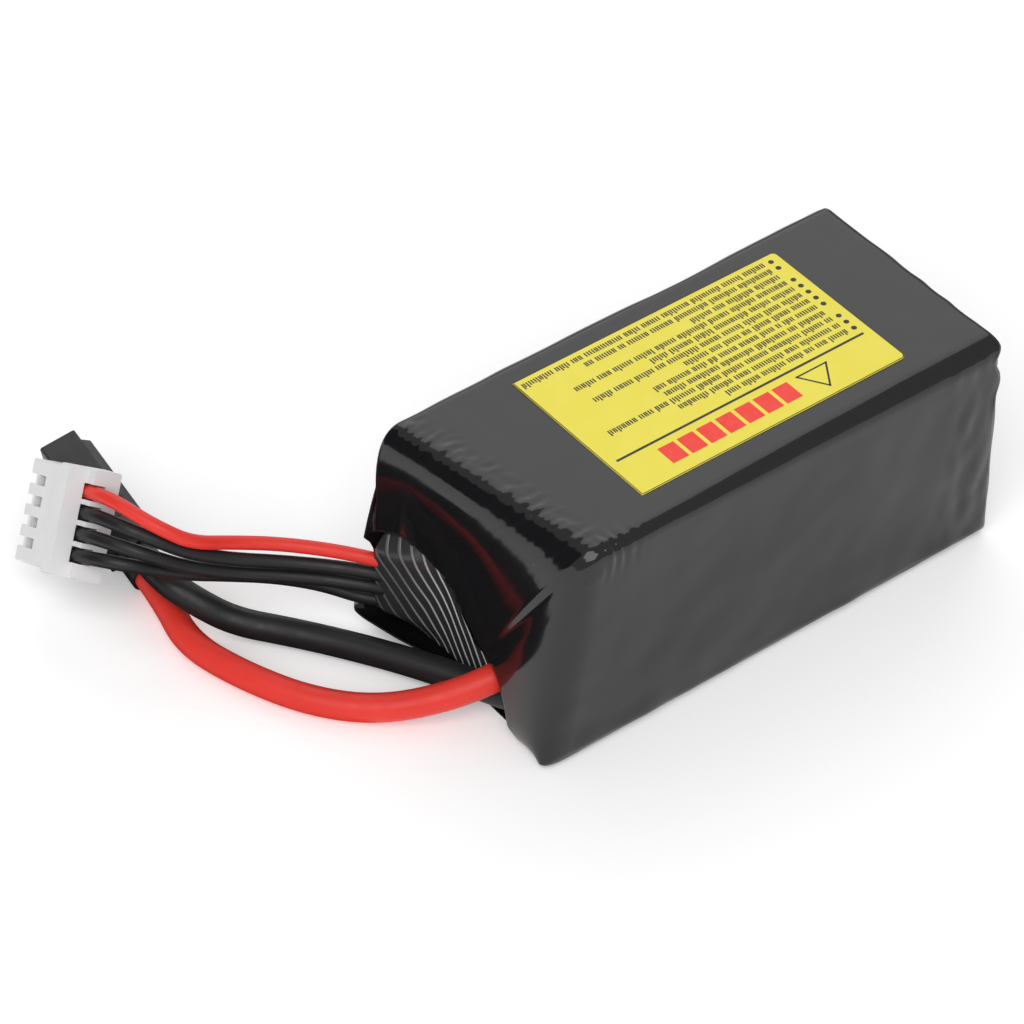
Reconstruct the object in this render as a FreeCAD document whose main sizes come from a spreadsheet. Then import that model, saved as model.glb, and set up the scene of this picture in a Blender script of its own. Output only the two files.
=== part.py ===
import FreeCAD, Part
import math
import os
import Sketcher

# A three-cell lithium polymer battery pack with its silicone leads: a soft block of pouch cells in
# heat-shrink film, a two-pole discharge plug and a four-way balance plug.
#
# Frame, in millimetres: +X runs along the pack from the wire end to the far end, +Z is up and the
# label is on top. The origin is at the middle of the underside of the film, its lip included.
# The leads leave the wire end, turn towards +Y and lie on the surface that the pack stands on.

DRIVING_SIZES = {
    "pack_length": 65.0,
    "pack_width": 32.5,
    "pack_height": 30.6,
    "film_wall": 0.3,
    "film_corner": 2.6,
    "lip_reach": 5.5,
    "lip_reach_front": 0.6,
    "lip_height": 30.0,
    "mouth_width": 25.8,
    "mouth_height": 13.6,
    "mouth_corner": 3.5,
    "mouth_centre_y": 2.8,
    "lead_notch_width": 12.0,
    "lead_notch_height": 5.0,
    "wire_gap_length": 4.4,
    "wire_gap_height": 10.2,
    "wire_gap_base": 2.4,
    "wire_gap_depth": 2.0,
    "far_mouth_width": 19.0,
    "far_mouth_height": 15.0,
    "far_mouth_corner": 7.0,
    "label_length": 39.2,
    "label_width": 24.0,
    "label_thickness": 0.12,
    "label_corner": 1.8,
    "label_centre_x": 4.3,
    "label_centre_y": 0.5,
    "cell_length": 53.0,
    "cell_width": 31.0,
    "cell_thickness": 9.4,
    "cell_corner": 2.2,
    "cell_gap": 0.4,
    "stack_base": 0.7,
    "seal_length": 2.4,
    "seal_width": 27.0,
    "seal_thickness": 0.6,
    "tab_width": 6.0,
    "tab_thickness": 0.2,
    "tab_spacing": 15.0,
    "gap_pad_length": 48.0,
    "gap_pad_width": 27.0,
    "band_length": 18.0,
    "band_thickness": 0.1,
    "band_clearance": 0.05,
    "strap_width": 11.0,
    "strap_thickness": 0.2,
    "strap_centre_y": 5.8,
    "wire_pad_thickness": 3.6,
    "far_pad_thickness": 1.5,
    "end_pad_margin": 0.7,
    "lead_cut_width": 15.2,
    "lead_cut_height": 9.0,
    "balance_cut_width": 4.4,
    "balance_cut_height": 9.4,
    "balance_cut_base": 2.4,
    "board_thickness": 1.0,
    "board_width": 29.0,
    "board_height": 26.0,
    "board_corner": 1.0,
    "lead_radius": 1.75,
    "lead_core_radius": 1.0,
    "wire_radius": 0.85,
    "solder_height": 0.7,
    "solder_spread": 0.5,
    "terminal_size": 3.4,
    "terminal_length": 1.4,
    "plug_length": 14.6,
    "plug_thickness": 5.8,
    "plug_height": 9.2,
    "plug_chamfer": 1.1,
    "plug_edge": 0.35,
    "nose_length": 1.8,
    "nose_step": 0.5,
    "contact_spacing": 5.0,
    "contact_radius": 1.45,
    "contact_bore": 1.0,
    "contact_bore_depth": 8.0,
    "contact_recess": 0.4,
    "contact_cup_length": 3.0,
    "contact_cup_radius": 1.1,
    "contact_cup_depth": 2.4,
    "shrink_length": 4.6,
    "shrink_radius": 2.15,
    "shrink_bore": 1.8,
    "housing_length": 10.7,
    "housing_width": 12.3,
    "housing_thickness": 5.7,
    "housing_edge": 0.3,
    "flange_length": 2.4,
    "flange_step": 0.4,
    "skirt_length": 1.6,
    "skirt_thickness": 3.4,
    "skirt_slot_depth": 1.6,
    "row_pitch": 2.5,
    "cavity_size": 1.9,
    "window_width": 1.2,
    "window_length": 2.1,
    "window_centre_x": 7.6,
    "finger_notch_depth": 1.5,
    "terminal_setback": 0.8,
    "crimp_length": 7.4,
    "crimp_size": 1.6,
    "crimp_bore": 0.75,
}

# Places that follow from the driving sizes, as expressions on the sheet's cells.
TOTAL_LENGTH = "(size.pack_length + size.lip_reach)"
LIP_X = f"(-{TOTAL_LENGTH} / 2)"
WIRE_END_X = f"({LIP_X} + size.lip_reach)"
FAR_END_X = f"({TOTAL_LENGTH} / 2)"
STRAP_WIRE_X = f"({WIRE_END_X} + size.film_wall)"
PAD_WIRE_X = f"({STRAP_WIRE_X} + size.strap_thickness)"
BOARD_X = f"({PAD_WIRE_X} + size.wire_pad_thickness)"
TAB_X = f"({BOARD_X} + size.board_thickness)"
STRAP_FAR_X = f"({FAR_END_X} - size.film_wall)"
PAD_FAR_X = f"({STRAP_FAR_X} - size.strap_thickness - size.far_pad_thickness)"
CELL_X = f"({PAD_FAR_X} - size.cell_length)"
SEAL_X = f"({CELL_X} - size.seal_length)"
CELL_STEP = "(size.cell_thickness + size.cell_gap)"
CELL_COUNT = 3

# Where the two plugs lie. Each stands on its own axes: X is its mating direction.
PLUG_POINT = (-51.0, 41.5, 5.1)
PLUG_TURN = (84.0, -5.7, -11.9)
HOUSING_POINT = (-58.45, 38.3, 14.05)
HOUSING_TURN = (87.0, 29.5, -58.0)

# The leads' routes, from the pack outwards. Their last two points come from the plug's own axis.
LEAD_ROUTES = {
    "main_lead_red": [
        (-25.65, -5.0, 6.2),
        (-30.2, -5.0, 6.2),
        (-36.2, -2.2, 3.9),
        (-42.4, 2.6, 1.85),
        (-47.7, 8.6, 1.75),
        (-51.4, 16.8, 1.75),
        (-53.5, 25.2, 1.75),
    ],
    "main_lead_black": [
        (-27.6, -12.6, 2.3),
        (-27.6, -8.6, 2.3),
        (-30.6, -1.8, 2.1),
        (-34.6, 6.2, 2.1),
        (-38.8, 13.6, 1.8),
        (-42.9, 19.6, 1.75),
        (-47.3, 24.4, 2.3),
        (-50.5, 27.8, 4.9),
    ],
}
LEAD_STRAIGHT = 6.0

# The balance wires' routes, from the board outwards. Their last two points lie on the plug's axis.
BALANCE_ROUTES = {
    "balance_wire_red": [
        (-25.65, 13.2, 10.4),
        (-28.2, 13.2, 10.4),
        (-31.4, 14.2, 10.1),
        (-34.4, 16.8, 11.2),
        (-37.4, 20.2, 11.5),
        (-41.6, 23.6, 12.2),
        (-46.2, 26.0, 13.2),
        (-51.1, 26.7, 15.4),
        (-53.8, 29.1, 17.4),
        (-55.1, 31.8, 18.2),
        (-56.0, 34.8, 18.6),
    ],
    "balance_wire_black_1": [
        (-25.65, 13.2, 8.15),
        (-28.2, 13.2, 8.15),
        (-31.4, 14.0, 8.0),
        (-34.6, 16.5, 9.2),
        (-37.8, 19.6, 9.5),
        (-42.2, 22.6, 10.4),
        (-46.9, 25.1, 11.6),
        (-51.3, 27.3, 13.5),
        (-54.0, 29.1, 15.4),
        (-55.9, 31.2, 16.5),
        (-57.2, 34.0, 16.7),
    ],
    "balance_wire_black_2": [
        (-25.65, 13.2, 5.9),
        (-28.2, 13.2, 5.9),
        (-31.4, 13.9, 6.0),
        (-34.8, 16.2, 7.3),
        (-38.1, 19.4, 7.7),
        (-42.5, 22.3, 8.6),
        (-47.2, 24.9, 9.7),
        (-51.8, 27.0, 11.7),
        (-54.9, 28.6, 13.7),
        (-57.0, 30.5, 14.8),
        (-58.5, 33.2, 14.9),
    ],
    "balance_wire_black_3": [
        (-25.65, 13.2, 3.65),
        (-28.2, 13.2, 3.65),
        (-31.3, 14.2, 4.0),
        (-34.3, 16.9, 4.4),
        (-37.5, 20.3, 5.8),
        (-41.8, 23.6, 7.0),
        (-46.6, 26.1, 8.2),
        (-51.4, 27.8, 9.8),
        (-54.8, 29.0, 11.5),
        (-57.6, 30.0, 13.0),
        (-59.6, 32.3, 13.2),
    ],
}
WIRE_STRAIGHT = 2.0
ROUTE_BEND = 0.45


document = FreeCAD.newDocument("lipo_battery_pack")
sheet = document.addObject("Spreadsheet::Sheet", "size")
for row, (alias, value) in enumerate(DRIVING_SIZES.items(), start=1):
    sheet.set(f"A{row}", alias)
    sheet.set(f"B{row}", str(value))
    sheet.setAlias(f"B{row}", alias)
document.recompute()

sub_parts = []


def size(alias):
    """A driving size, read from the sheet."""
    return float(sheet.get(alias))


def evaluate(expression):
    """The number that an expression on the sheet's cells stands for."""
    return float(measure.evalExpression(expression))


measure = document.addObject("App::FeaturePython", "measure")


def vector(point):
    return FreeCAD.Vector(*point)


def bind(thing, bindings):
    for name, expression in bindings.items():
        thing.setExpression(name, expression)


def keep(thing, label):
    """Give a finished sub-part its name and put it on the list that is written out."""
    thing.Label = label
    sub_parts.append(thing)
    return thing


def seat(thing, point, turn):
    """Stand a sub-part on the axes of the plug that it belongs to."""
    thing.Placement = FreeCAD.Placement(vector(point), FreeCAD.Rotation(*turn))


# --- sketches ---------------------------------------------------------------------------------


def new_body(name):
    return document.addObject("PartDesign::Body", name)


def new_sketch(body, role, name, offset):
    """A sketch on one of the body's own origin planes, moved by an offset along the sketch's axes."""
    sketch = body.newObject("Sketcher::SketchObject", name)
    plane = [item for item in body.Origin.OriginFeatures if item.Role == role][0]
    sketch.AttachmentSupport = [(plane, "")]
    sketch.MapMode = "FlatFace"
    for axis, expression in zip("xyz", offset):
        sketch.setExpression(f"AttachmentOffset.Base.{axis}", expression)
    return sketch


def add_rectangle(sketch, width, height):
    """A rectangle centred on the sketch's origin."""
    half_width = evaluate(width) / 2
    half_height = evaluate(height) / 2
    corners = [
        FreeCAD.Vector(-half_width, -half_height, 0),
        FreeCAD.Vector(half_width, -half_height, 0),
        FreeCAD.Vector(half_width, half_height, 0),
        FreeCAD.Vector(-half_width, half_height, 0),
    ]
    first = sketch.GeometryCount
    for index in range(4):
        sketch.addGeometry(Part.LineSegment(corners[index], corners[(index + 1) % 4]), False)
    for index in range(4):
        sketch.addConstraint(
            Sketcher.Constraint("Coincident", first + index, 2, first + (index + 1) % 4, 1)
        )
    for index in range(4):
        direction = "Horizontal" if index % 2 == 0 else "Vertical"
        sketch.addConstraint(Sketcher.Constraint(direction, first + index))
    sketch.addConstraint(Sketcher.Constraint("Symmetric", first, 1, first + 2, 1, -1, 1))
    wide = sketch.addConstraint(Sketcher.Constraint("DistanceX", first, 1, first, 2, 2 * half_width))
    high = sketch.addConstraint(
        Sketcher.Constraint("DistanceY", first + 1, 1, first + 1, 2, 2 * half_height)
    )
    sketch.setExpression(f"Constraints[{wide}]", width)
    sketch.setExpression(f"Constraints[{high}]", height)


def add_rounded_rectangle(sketch, width, height, radius):
    """A rectangle with round corners, centred on the sketch's origin."""
    half_width = evaluate(width) / 2
    half_height = evaluate(height) / 2
    corner = evaluate(radius)
    inner_x = half_width - corner
    inner_y = half_height - corner
    first = sketch.GeometryCount
    sides = [
        ((-inner_x, -half_height), (inner_x, -half_height)),
        ((half_width, -inner_y), (half_width, inner_y)),
        ((inner_x, half_height), (-inner_x, half_height)),
        ((-half_width, inner_y), (-half_width, -inner_y)),
    ]
    for start, end in sides:
        line = Part.LineSegment(FreeCAD.Vector(*start, 0), FreeCAD.Vector(*end, 0))
        sketch.addGeometry(line, False)
    centres = [(inner_x, -inner_y), (inner_x, inner_y), (-inner_x, inner_y), (-inner_x, -inner_y)]
    for index, centre in enumerate(centres):
        start_angle = math.pi * (index - 1) / 2
        circle = Part.Circle(FreeCAD.Vector(*centre, 0), FreeCAD.Vector(0, 0, 1), corner)
        sketch.addGeometry(Part.ArcOfCircle(circle, start_angle, start_angle + math.pi / 2), False)
    for index in range(4):
        side = first + index
        arc = first + 4 + index
        sketch.addConstraint(Sketcher.Constraint("Tangent", side, 2, arc, 1))
        sketch.addConstraint(Sketcher.Constraint("Tangent", arc, 2, first + (index + 1) % 4, 1))
    for index in (0, 1):
        direction = "Horizontal" if index == 0 else "Vertical"
        sketch.addConstraint(Sketcher.Constraint(direction, first + index))
    for index in (1, 2, 3):
        sketch.addConstraint(Sketcher.Constraint("Equal", first + 4, first + 4 + index))
    sketch.addConstraint(Sketcher.Constraint("Symmetric", first + 4, 3, first + 6, 3, -1, 1))
    round_corner = sketch.addConstraint(Sketcher.Constraint("Radius", first + 4, corner))
    wide = sketch.addConstraint(
        Sketcher.Constraint("DistanceX", first + 3, 1, first + 1, 1, 2 * half_width)
    )
    high = sketch.addConstraint(
        Sketcher.Constraint("DistanceY", first, 1, first + 2, 1, 2 * half_height)
    )
    sketch.setExpression(f"Constraints[{round_corner}]", radius)
    sketch.setExpression(f"Constraints[{wide}]", width)
    sketch.setExpression(f"Constraints[{high}]", height)


def add_right_triangle(sketch, leg_x, leg_y):
    """A triangle with its right angle at the sketch's origin and its legs along the axes."""
    along_x = evaluate(leg_x)
    along_y = evaluate(leg_y)
    corner = FreeCAD.Vector(0, 0, 0)
    tip_x = FreeCAD.Vector(along_x, 0, 0)
    tip_y = FreeCAD.Vector(0, along_y, 0)
    sketch.addGeometry(Part.LineSegment(corner, tip_x), False)
    sketch.addGeometry(Part.LineSegment(tip_x, tip_y), False)
    sketch.addGeometry(Part.LineSegment(tip_y, corner), False)
    for index in range(3):
        sketch.addConstraint(Sketcher.Constraint("Coincident", index, 2, (index + 1) % 3, 1))
    sketch.addConstraint(Sketcher.Constraint("Coincident", 0, 1, -1, 1))
    sketch.addConstraint(Sketcher.Constraint("Horizontal", 0))
    sketch.addConstraint(Sketcher.Constraint("Vertical", 2))
    wide = sketch.addConstraint(Sketcher.Constraint("Distance", 0, along_x))
    high = sketch.addConstraint(Sketcher.Constraint("Distance", 2, along_y))
    sketch.setExpression(f"Constraints[{wide}]", leg_x)
    sketch.setExpression(f"Constraints[{high}]", leg_y)


def add_circle(sketch, radius):
    """A circle centred on the sketch's origin."""
    value = evaluate(radius)
    circle = Part.Circle(FreeCAD.Vector(0, 0, 0), FreeCAD.Vector(0, 0, 1), value)
    index = sketch.addGeometry(circle, False)
    sketch.addConstraint(Sketcher.Constraint("Coincident", index, 3, -1, 1))
    round_size = sketch.addConstraint(Sketcher.Constraint("Radius", index, value))
    sketch.setExpression(f"Constraints[{round_size}]", radius)


# --- features ---------------------------------------------------------------------------------


def pad(body, sketch, length, backwards=False):
    feature = body.newObject("PartDesign::Pad", f"{sketch.Name}_pad")
    feature.Profile = sketch
    feature.setExpression("Length", length)
    feature.Reversed = backwards
    sketch.Visibility = False
    document.recompute()
    return feature


def pocket(body, sketch, length, backwards=False, both_ways=False):
    """Cut a sketch out of the body, and make sure that the cut took material away."""
    before = body.Shape.Volume
    feature = body.newObject("PartDesign::Pocket", f"{sketch.Name}_pocket")
    feature.Profile = sketch
    feature.setExpression("Length", length)
    feature.Reversed = backwards
    feature.Midplane = both_ways
    sketch.Visibility = False
    document.recompute()
    if body.Shape.Volume >= before:
        raise RuntimeError(f"{sketch.Name} cuts nothing")
    return feature


def edges_along(shape, axis, keep_edge=lambda edge: True):
    """The names of the straight edges that run along an axis and that pass a test."""
    names = []
    for index, edge in enumerate(shape.Edges, start=1):
        if edge.Curve.TypeId != "Part::GeomLine":
            continue
        direction = edge.tangentAt(edge.FirstParameter)
        if abs(direction.dot(axis)) > 0.999 and keep_edge(edge):
            names.append(f"Edge{index}")
    return names


def round_edges(body, base, names, radius):
    feature = body.newObject("PartDesign::Fillet", f"{base.Name}_round")
    feature.Base = (base, names)
    feature.setExpression("Radius", radius)
    document.recompute()
    return feature


def bevel_edges(body, base, names, width):
    feature = body.newObject("PartDesign::Chamfer", f"{base.Name}_bevel")
    feature.Base = (base, names)
    feature.setExpression("Size", width)
    document.recompute()
    return feature


def repeat(body, feature, axis_name, length, count):
    """A straight row of a feature, along one of its sketch's axes."""
    before = body.Shape.Volume
    pattern = body.newObject("PartDesign::LinearPattern", f"{feature.Name}_row")
    pattern.Originals = [feature]
    pattern.Direction = (feature.Profile[0], [axis_name])
    pattern.setExpression("Length", length)
    pattern.Occurrences = count
    body.Tip = pattern
    document.recompute()
    if abs(body.Shape.Volume - before) < 1e-6:
        raise RuntimeError(f"{pattern.Name} repeats nothing")
    return pattern


X_AXIS = FreeCAD.Vector(1, 0, 0)
Y_AXIS = FreeCAD.Vector(0, 1, 0)
Z_AXIS = FreeCAD.Vector(0, 0, 1)


def new_box(name, lengths, corner):
    """A plain box, given its three lengths and its lowest corner as expressions."""
    box = document.addObject("Part::Box", name)
    bind(box, dict(zip(("Length", "Width", "Height"), lengths)))
    for axis, expression in zip("xyz", corner):
        box.setExpression(f"Placement.Base.{axis}", expression)
    return box


def new_cylinder(name, radius, height, point):
    """A cylinder whose axis runs along +X from a point."""
    cylinder = document.addObject("Part::Cylinder", name)
    bind(cylinder, {"Radius": radius, "Height": height})
    cylinder.Placement.Rotation = FreeCAD.Rotation(Z_AXIS, X_AXIS)
    for axis, expression in zip("xyz", point):
        cylinder.setExpression(f"Placement.Base.{axis}", expression)
    return cylinder


def cut(name, base, tool):
    feature = document.addObject("Part::Cut", name)
    feature.Base = base
    feature.Tool = tool
    return feature


def group(name, members):
    """Several separate solids of the same kind, kept as one sub-part."""
    feature = document.addObject("Part::Compound", name)
    feature.Links = members
    return feature


# --- film and label ---------------------------------------------------------------------------


def make_shrink_sleeve():
    """The heat-shrink film: a closed box with a mouth in each end and a loose lip at the wires."""
    body = new_body("shrink_sleeve")
    middle_z = "size.pack_height / 2"
    block = new_sketch(body, "YZ_Plane", "film_block", ("0", middle_z, WIRE_END_X))
    add_rounded_rectangle(block, "size.pack_width", "size.pack_height", "size.film_corner")
    pad(body, block, "size.pack_length")

    inside = new_sketch(body, "YZ_Plane", "film_inside", ("0", middle_z, STRAP_WIRE_X))
    add_rounded_rectangle(
        inside,
        "size.pack_width - 2 * size.film_wall",
        "size.pack_height - 2 * size.film_wall",
        "size.film_corner - size.film_wall",
    )
    pocket(body, inside, "size.pack_length - 2 * size.film_wall", backwards=True)

    mouth_z = "size.mouth_height / 2 + size.film_wall"
    mouth = new_sketch(body, "YZ_Plane", "wire_mouth", ("size.mouth_centre_y", mouth_z, WIRE_END_X))
    add_rounded_rectangle(mouth, "size.mouth_width", "size.mouth_height", "size.mouth_corner")
    pocket(body, mouth, "size.film_wall", backwards=True)

    notch_y = "size.mouth_centre_y - size.mouth_width / 2 + size.lead_notch_width / 2 - 1"
    notch_z = "size.lead_notch_height / 2 + size.film_wall"
    notch = new_sketch(body, "YZ_Plane", "lead_notch", (notch_y, notch_z, WIRE_END_X))
    add_rounded_rectangle(notch, "size.lead_notch_width", "size.lead_notch_height", "1")
    pocket(body, notch, "size.film_wall", backwards=True)

    far_mouth = new_sketch(body, "YZ_Plane", "far_mouth", ("0", middle_z, STRAP_FAR_X))
    add_rounded_rectangle(
        far_mouth, "size.far_mouth_width", "size.far_mouth_height", "size.far_mouth_corner"
    )
    pocket(body, far_mouth, "size.film_wall", backwards=True)

    add_lip(body, middle_z)
    return keep(body, "shrink_sleeve")


def add_lip(body, middle_z):
    """The loose lip at the wires, trimmed on a slant, with a gap where the thin wires leave it."""
    lip = new_sketch(body, "YZ_Plane", "lip_ring", ("0", middle_z, WIRE_END_X))
    add_rounded_rectangle(lip, "size.pack_width", "size.pack_height", "size.film_corner")
    add_rounded_rectangle(
        lip,
        "size.pack_width - 2 * size.film_wall",
        "size.pack_height - 2 * size.film_wall",
        "size.film_corner - size.film_wall",
    )
    pad(body, lip, "size.lip_reach", backwards=True)

    front = new_sketch(body, "XY_Plane", "lip_trim_front", (LIP_X, "-size.pack_width / 2", "0"))
    add_right_triangle(front, "size.lip_reach - size.lip_reach_front", "size.pack_width")
    pocket(body, front, "2 * size.pack_height + 2", both_ways=True)

    top = new_sketch(body, "XZ_Plane", "lip_trim_top", (LIP_X, "size.pack_height", "0"))
    top.AttachmentOffset.Rotation = FreeCAD.Rotation(X_AXIS, 180)
    add_right_triangle(top, "size.lip_reach - size.lip_reach_front", "size.lip_height")
    pocket(body, top, "2 * size.pack_width", both_ways=True)

    gap_x = f"{LIP_X} + size.wire_gap_length / 2 - 0.5"
    gap_z = "size.wire_gap_base + size.wire_gap_height / 2"
    gap_start = "-(size.pack_width + size.wire_gap_depth) / 2"
    gap = new_sketch(body, "XZ_Plane", "wire_gap", (gap_x, gap_z, gap_start))
    add_rectangle(gap, "size.wire_gap_length + 1", "size.wire_gap_height")
    pocket(body, gap, "size.wire_gap_depth", backwards=True)


def make_top_label():
    """The sticker on the top, with its two far corners rounded."""
    body = new_body("top_label")
    outline = new_sketch(
        body, "XY_Plane", "label_outline", ("size.label_centre_x", "size.label_centre_y", "size.pack_height")
    )
    add_rectangle(outline, "size.label_length", "size.label_width")
    sheet_pad = pad(body, outline, "size.label_thickness")
    far_side = size("label_centre_x")
    corners = edges_along(sheet_pad.Shape, Z_AXIS, lambda edge: edge.CenterOfMass.x > far_side)
    round_edges(body, sheet_pad, corners, "size.label_corner")
    return keep(body, "top_label")


# --- cells and what joins them ----------------------------------------------------------------


def make_cell(index, label):
    """A pouch cell: a foil cushion with a thin heat-sealed ledge at the wire end."""
    body = new_body(label)
    base = f"(size.stack_base + {index} * {CELL_STEP})"
    middle_z = f"{base} + size.cell_thickness / 2"
    pouch = new_sketch(body, "YZ_Plane", f"{label}_pouch", ("0", middle_z, CELL_X))
    add_rounded_rectangle(pouch, "size.cell_width", "size.cell_thickness", "size.cell_corner")
    pouch_pad = pad(body, pouch, "size.cell_length")
    ends = edges_along(pouch_pad.Shape, Y_AXIS)
    round_edges(body, pouch_pad, ends, "size.cell_corner")
    ledge = new_sketch(body, "YZ_Plane", f"{label}_ledge", ("0", middle_z, SEAL_X))
    add_rectangle(ledge, "size.seal_width", "size.seal_thickness")
    pad(body, ledge, "size.seal_length")
    return keep(body, label)


def make_tabs(label, side):
    """Three flat tabs, one to a cell. The middle cell lies the other way round in the stack."""
    tabs = []
    for index in range(CELL_COUNT):
        hand = side if index % 2 == 0 else -side
        centre_z = f"(size.stack_base + {index} * {CELL_STEP} + size.cell_thickness / 2)"
        corner = (
            TAB_X,
            f"{hand} * size.tab_spacing / 2 - size.tab_width / 2",
            f"{centre_z} - size.tab_thickness / 2",
        )
        lengths = (f"{SEAL_X} - {TAB_X}", "size.tab_width", "size.tab_thickness")
        tabs.append(new_box(f"{label}_{index + 1}", lengths, corner))
    return keep(group(label, tabs), label)


def make_gap_pad(index, label):
    """Double-sided foam tape between two cells."""
    lengths = ("size.gap_pad_length", "size.gap_pad_width", "size.cell_gap")
    corner = (
        f"{CELL_X} + (size.cell_length - size.gap_pad_length) / 2",
        "-size.gap_pad_width / 2",
        f"size.stack_base + {index + 1} * {CELL_STEP} - size.cell_gap",
    )
    return keep(new_box(label, lengths, corner), label)


def make_ring(label, role, offset, outer, inner, width):
    """A band of tape: a thin closed ring of a given width."""
    body = new_body(label)
    ring = new_sketch(body, role, f"{label}_ring", offset)
    for ring_width, ring_height, corner in (outer, inner):
        add_rounded_rectangle(ring, ring_width, ring_height, corner)
    pad(body, ring, width)
    return keep(body, label)


def make_cell_band():
    """The tape round the middle of the stack, across the pack."""
    stack = f"({CELL_COUNT} * {CELL_STEP} - size.cell_gap)"
    inner_width = "size.cell_width + 2 * size.band_clearance"
    inner_height = f"{stack} + 2 * size.band_clearance"
    start_x = f"{CELL_X} + (size.cell_length - size.band_length) / 2"
    return make_ring(
        "cell_band",
        "YZ_Plane",
        ("0", f"size.stack_base + {stack} / 2", start_x),
        (
            f"{inner_width} + 2 * size.band_thickness",
            f"{inner_height} + 2 * size.band_thickness",
            "size.cell_corner + size.band_thickness",
        ),
        (inner_width, inner_height, "size.cell_corner"),
        "size.band_length",
    )


def make_filament_strap():
    """The striped strapping tape round the pack lengthwise, just under the film."""
    outer_length = f"({STRAP_FAR_X} - {STRAP_WIRE_X})"
    outer_height = "(size.pack_height - 2 * size.film_wall)"
    middle = (
        f"({STRAP_FAR_X} + {STRAP_WIRE_X}) / 2",
        "size.pack_height / 2",
        "-size.strap_centre_y - size.strap_width / 2",
    )
    return make_ring(
        "filament_strap",
        "XZ_Plane",
        middle,
        (outer_length, outer_height, "2 * size.strap_thickness"),
        (
            f"{outer_length} - 2 * size.strap_thickness",
            f"{outer_height} - 2 * size.strap_thickness",
            "size.strap_thickness",
        ),
        "size.strap_width",
    )


def make_wire_end_pad():
    """The insulating pad over the board, cut away where the leads and the wires leave it."""
    body = new_body("wire_end_pad")
    width = "(size.pack_width - 2 * size.end_pad_margin)"
    height = "(size.pack_height - 2 * size.end_pad_margin)"
    block = new_sketch(body, "YZ_Plane", "pad_block", ("0", "size.pack_height / 2", PAD_WIRE_X))
    add_rounded_rectangle(block, width, height, "size.film_corner")
    pad(body, block, "size.wire_pad_thickness")
    lead_cut = new_sketch(
        body,
        "YZ_Plane",
        "lead_cut",
        (
            f"-{width} / 2 + size.lead_cut_width / 2",
            "size.end_pad_margin + size.lead_cut_height / 2",
            PAD_WIRE_X,
        ),
    )
    add_rectangle(lead_cut, "size.lead_cut_width + 1", "size.lead_cut_height + 1")
    pocket(body, lead_cut, "size.wire_pad_thickness", backwards=True)
    balance_cut = new_sketch(
        body,
        "YZ_Plane",
        "balance_cut",
        (
            f"{width} / 2 - size.balance_cut_width / 2",
            "size.balance_cut_base + size.balance_cut_height / 2",
            PAD_WIRE_X,
        ),
    )
    add_rectangle(balance_cut, "size.balance_cut_width + 1", "size.balance_cut_height")
    pocket(body, balance_cut, "size.wire_pad_thickness", backwards=True)
    return keep(body, "wire_end_pad")


def make_far_end_pad():
    """The foam pad that protects the cells' far ends."""
    body = new_body("far_end_pad")
    block = new_sketch(body, "YZ_Plane", "far_pad_block", ("0", "size.pack_height / 2", PAD_FAR_X))
    add_rounded_rectangle(
        block,
        "size.pack_width - 2 * size.end_pad_margin",
        "size.pack_height - 2 * size.end_pad_margin",
        "size.film_corner",
    )
    pad(body, block, "size.far_pad_thickness")
    return keep(body, "far_end_pad")


def make_balance_board():
    """The circuit board that joins the cells' tabs, the leads and the balance wires."""
    body = new_body("balance_board")
    outline = new_sketch(body, "YZ_Plane", "board_outline", ("0", "size.pack_height / 2", BOARD_X))
    add_rounded_rectangle(outline, "size.board_width", "size.board_height", "size.board_corner")
    pad(body, outline, "size.board_thickness")
    return keep(body, "balance_board")


def make_solder_joints():
    """Solder collars on the board round the ends of the wires and of the red lead."""
    ends = [(route[0], "size.wire_radius") for route in BALANCE_ROUTES.values()]
    ends.append((LEAD_ROUTES["main_lead_red"][0], "size.lead_radius"))
    collars = []
    for index, (end, radius) in enumerate(ends, start=1):
        cone = document.addObject("Part::Cone", f"solder_cone_{index}")
        bind(
            cone,
            {
                "Radius1": f"{radius} + size.solder_spread * size.wire_radius / {radius} / 2",
                "Radius2": f"{radius} + 0.05",
                "Height": "size.solder_height",
            },
        )
        cone.Placement = FreeCAD.Placement(
            FreeCAD.Vector(evaluate(BOARD_X), end[1], end[2]),
            FreeCAD.Rotation(Z_AXIS, FreeCAD.Vector(-1, 0, 0)),
        )
        bore = new_cylinder(
            f"solder_bore_{index}",
            radius,
            "2 * size.solder_height",
            (f"{BOARD_X} - 1.5 * size.solder_height", f"{end[1]}", f"{end[2]}"),
        )
        collars.append(cut(f"solder_collar_{index}", cone, bore))
    return keep(group("solder_joints", collars), "solder_joints")


def make_negative_terminal():
    """The copper block on the board that the black lead is soldered to, end on."""
    end = LEAD_ROUTES["main_lead_black"][0]
    reach = f"{BOARD_X} - ({end[0]}) + size.terminal_size / 2"
    lengths = (reach, "size.terminal_length", "size.terminal_size")
    corner = (
        f"{end[0]} - size.terminal_size / 2",
        f"{end[1]} - size.terminal_length",
        f"{end[2]} - size.terminal_size / 2",
    )
    return keep(new_box("negative_terminal", lengths, corner), "negative_terminal")


# --- main plug --------------------------------------------------------------------------------


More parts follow.
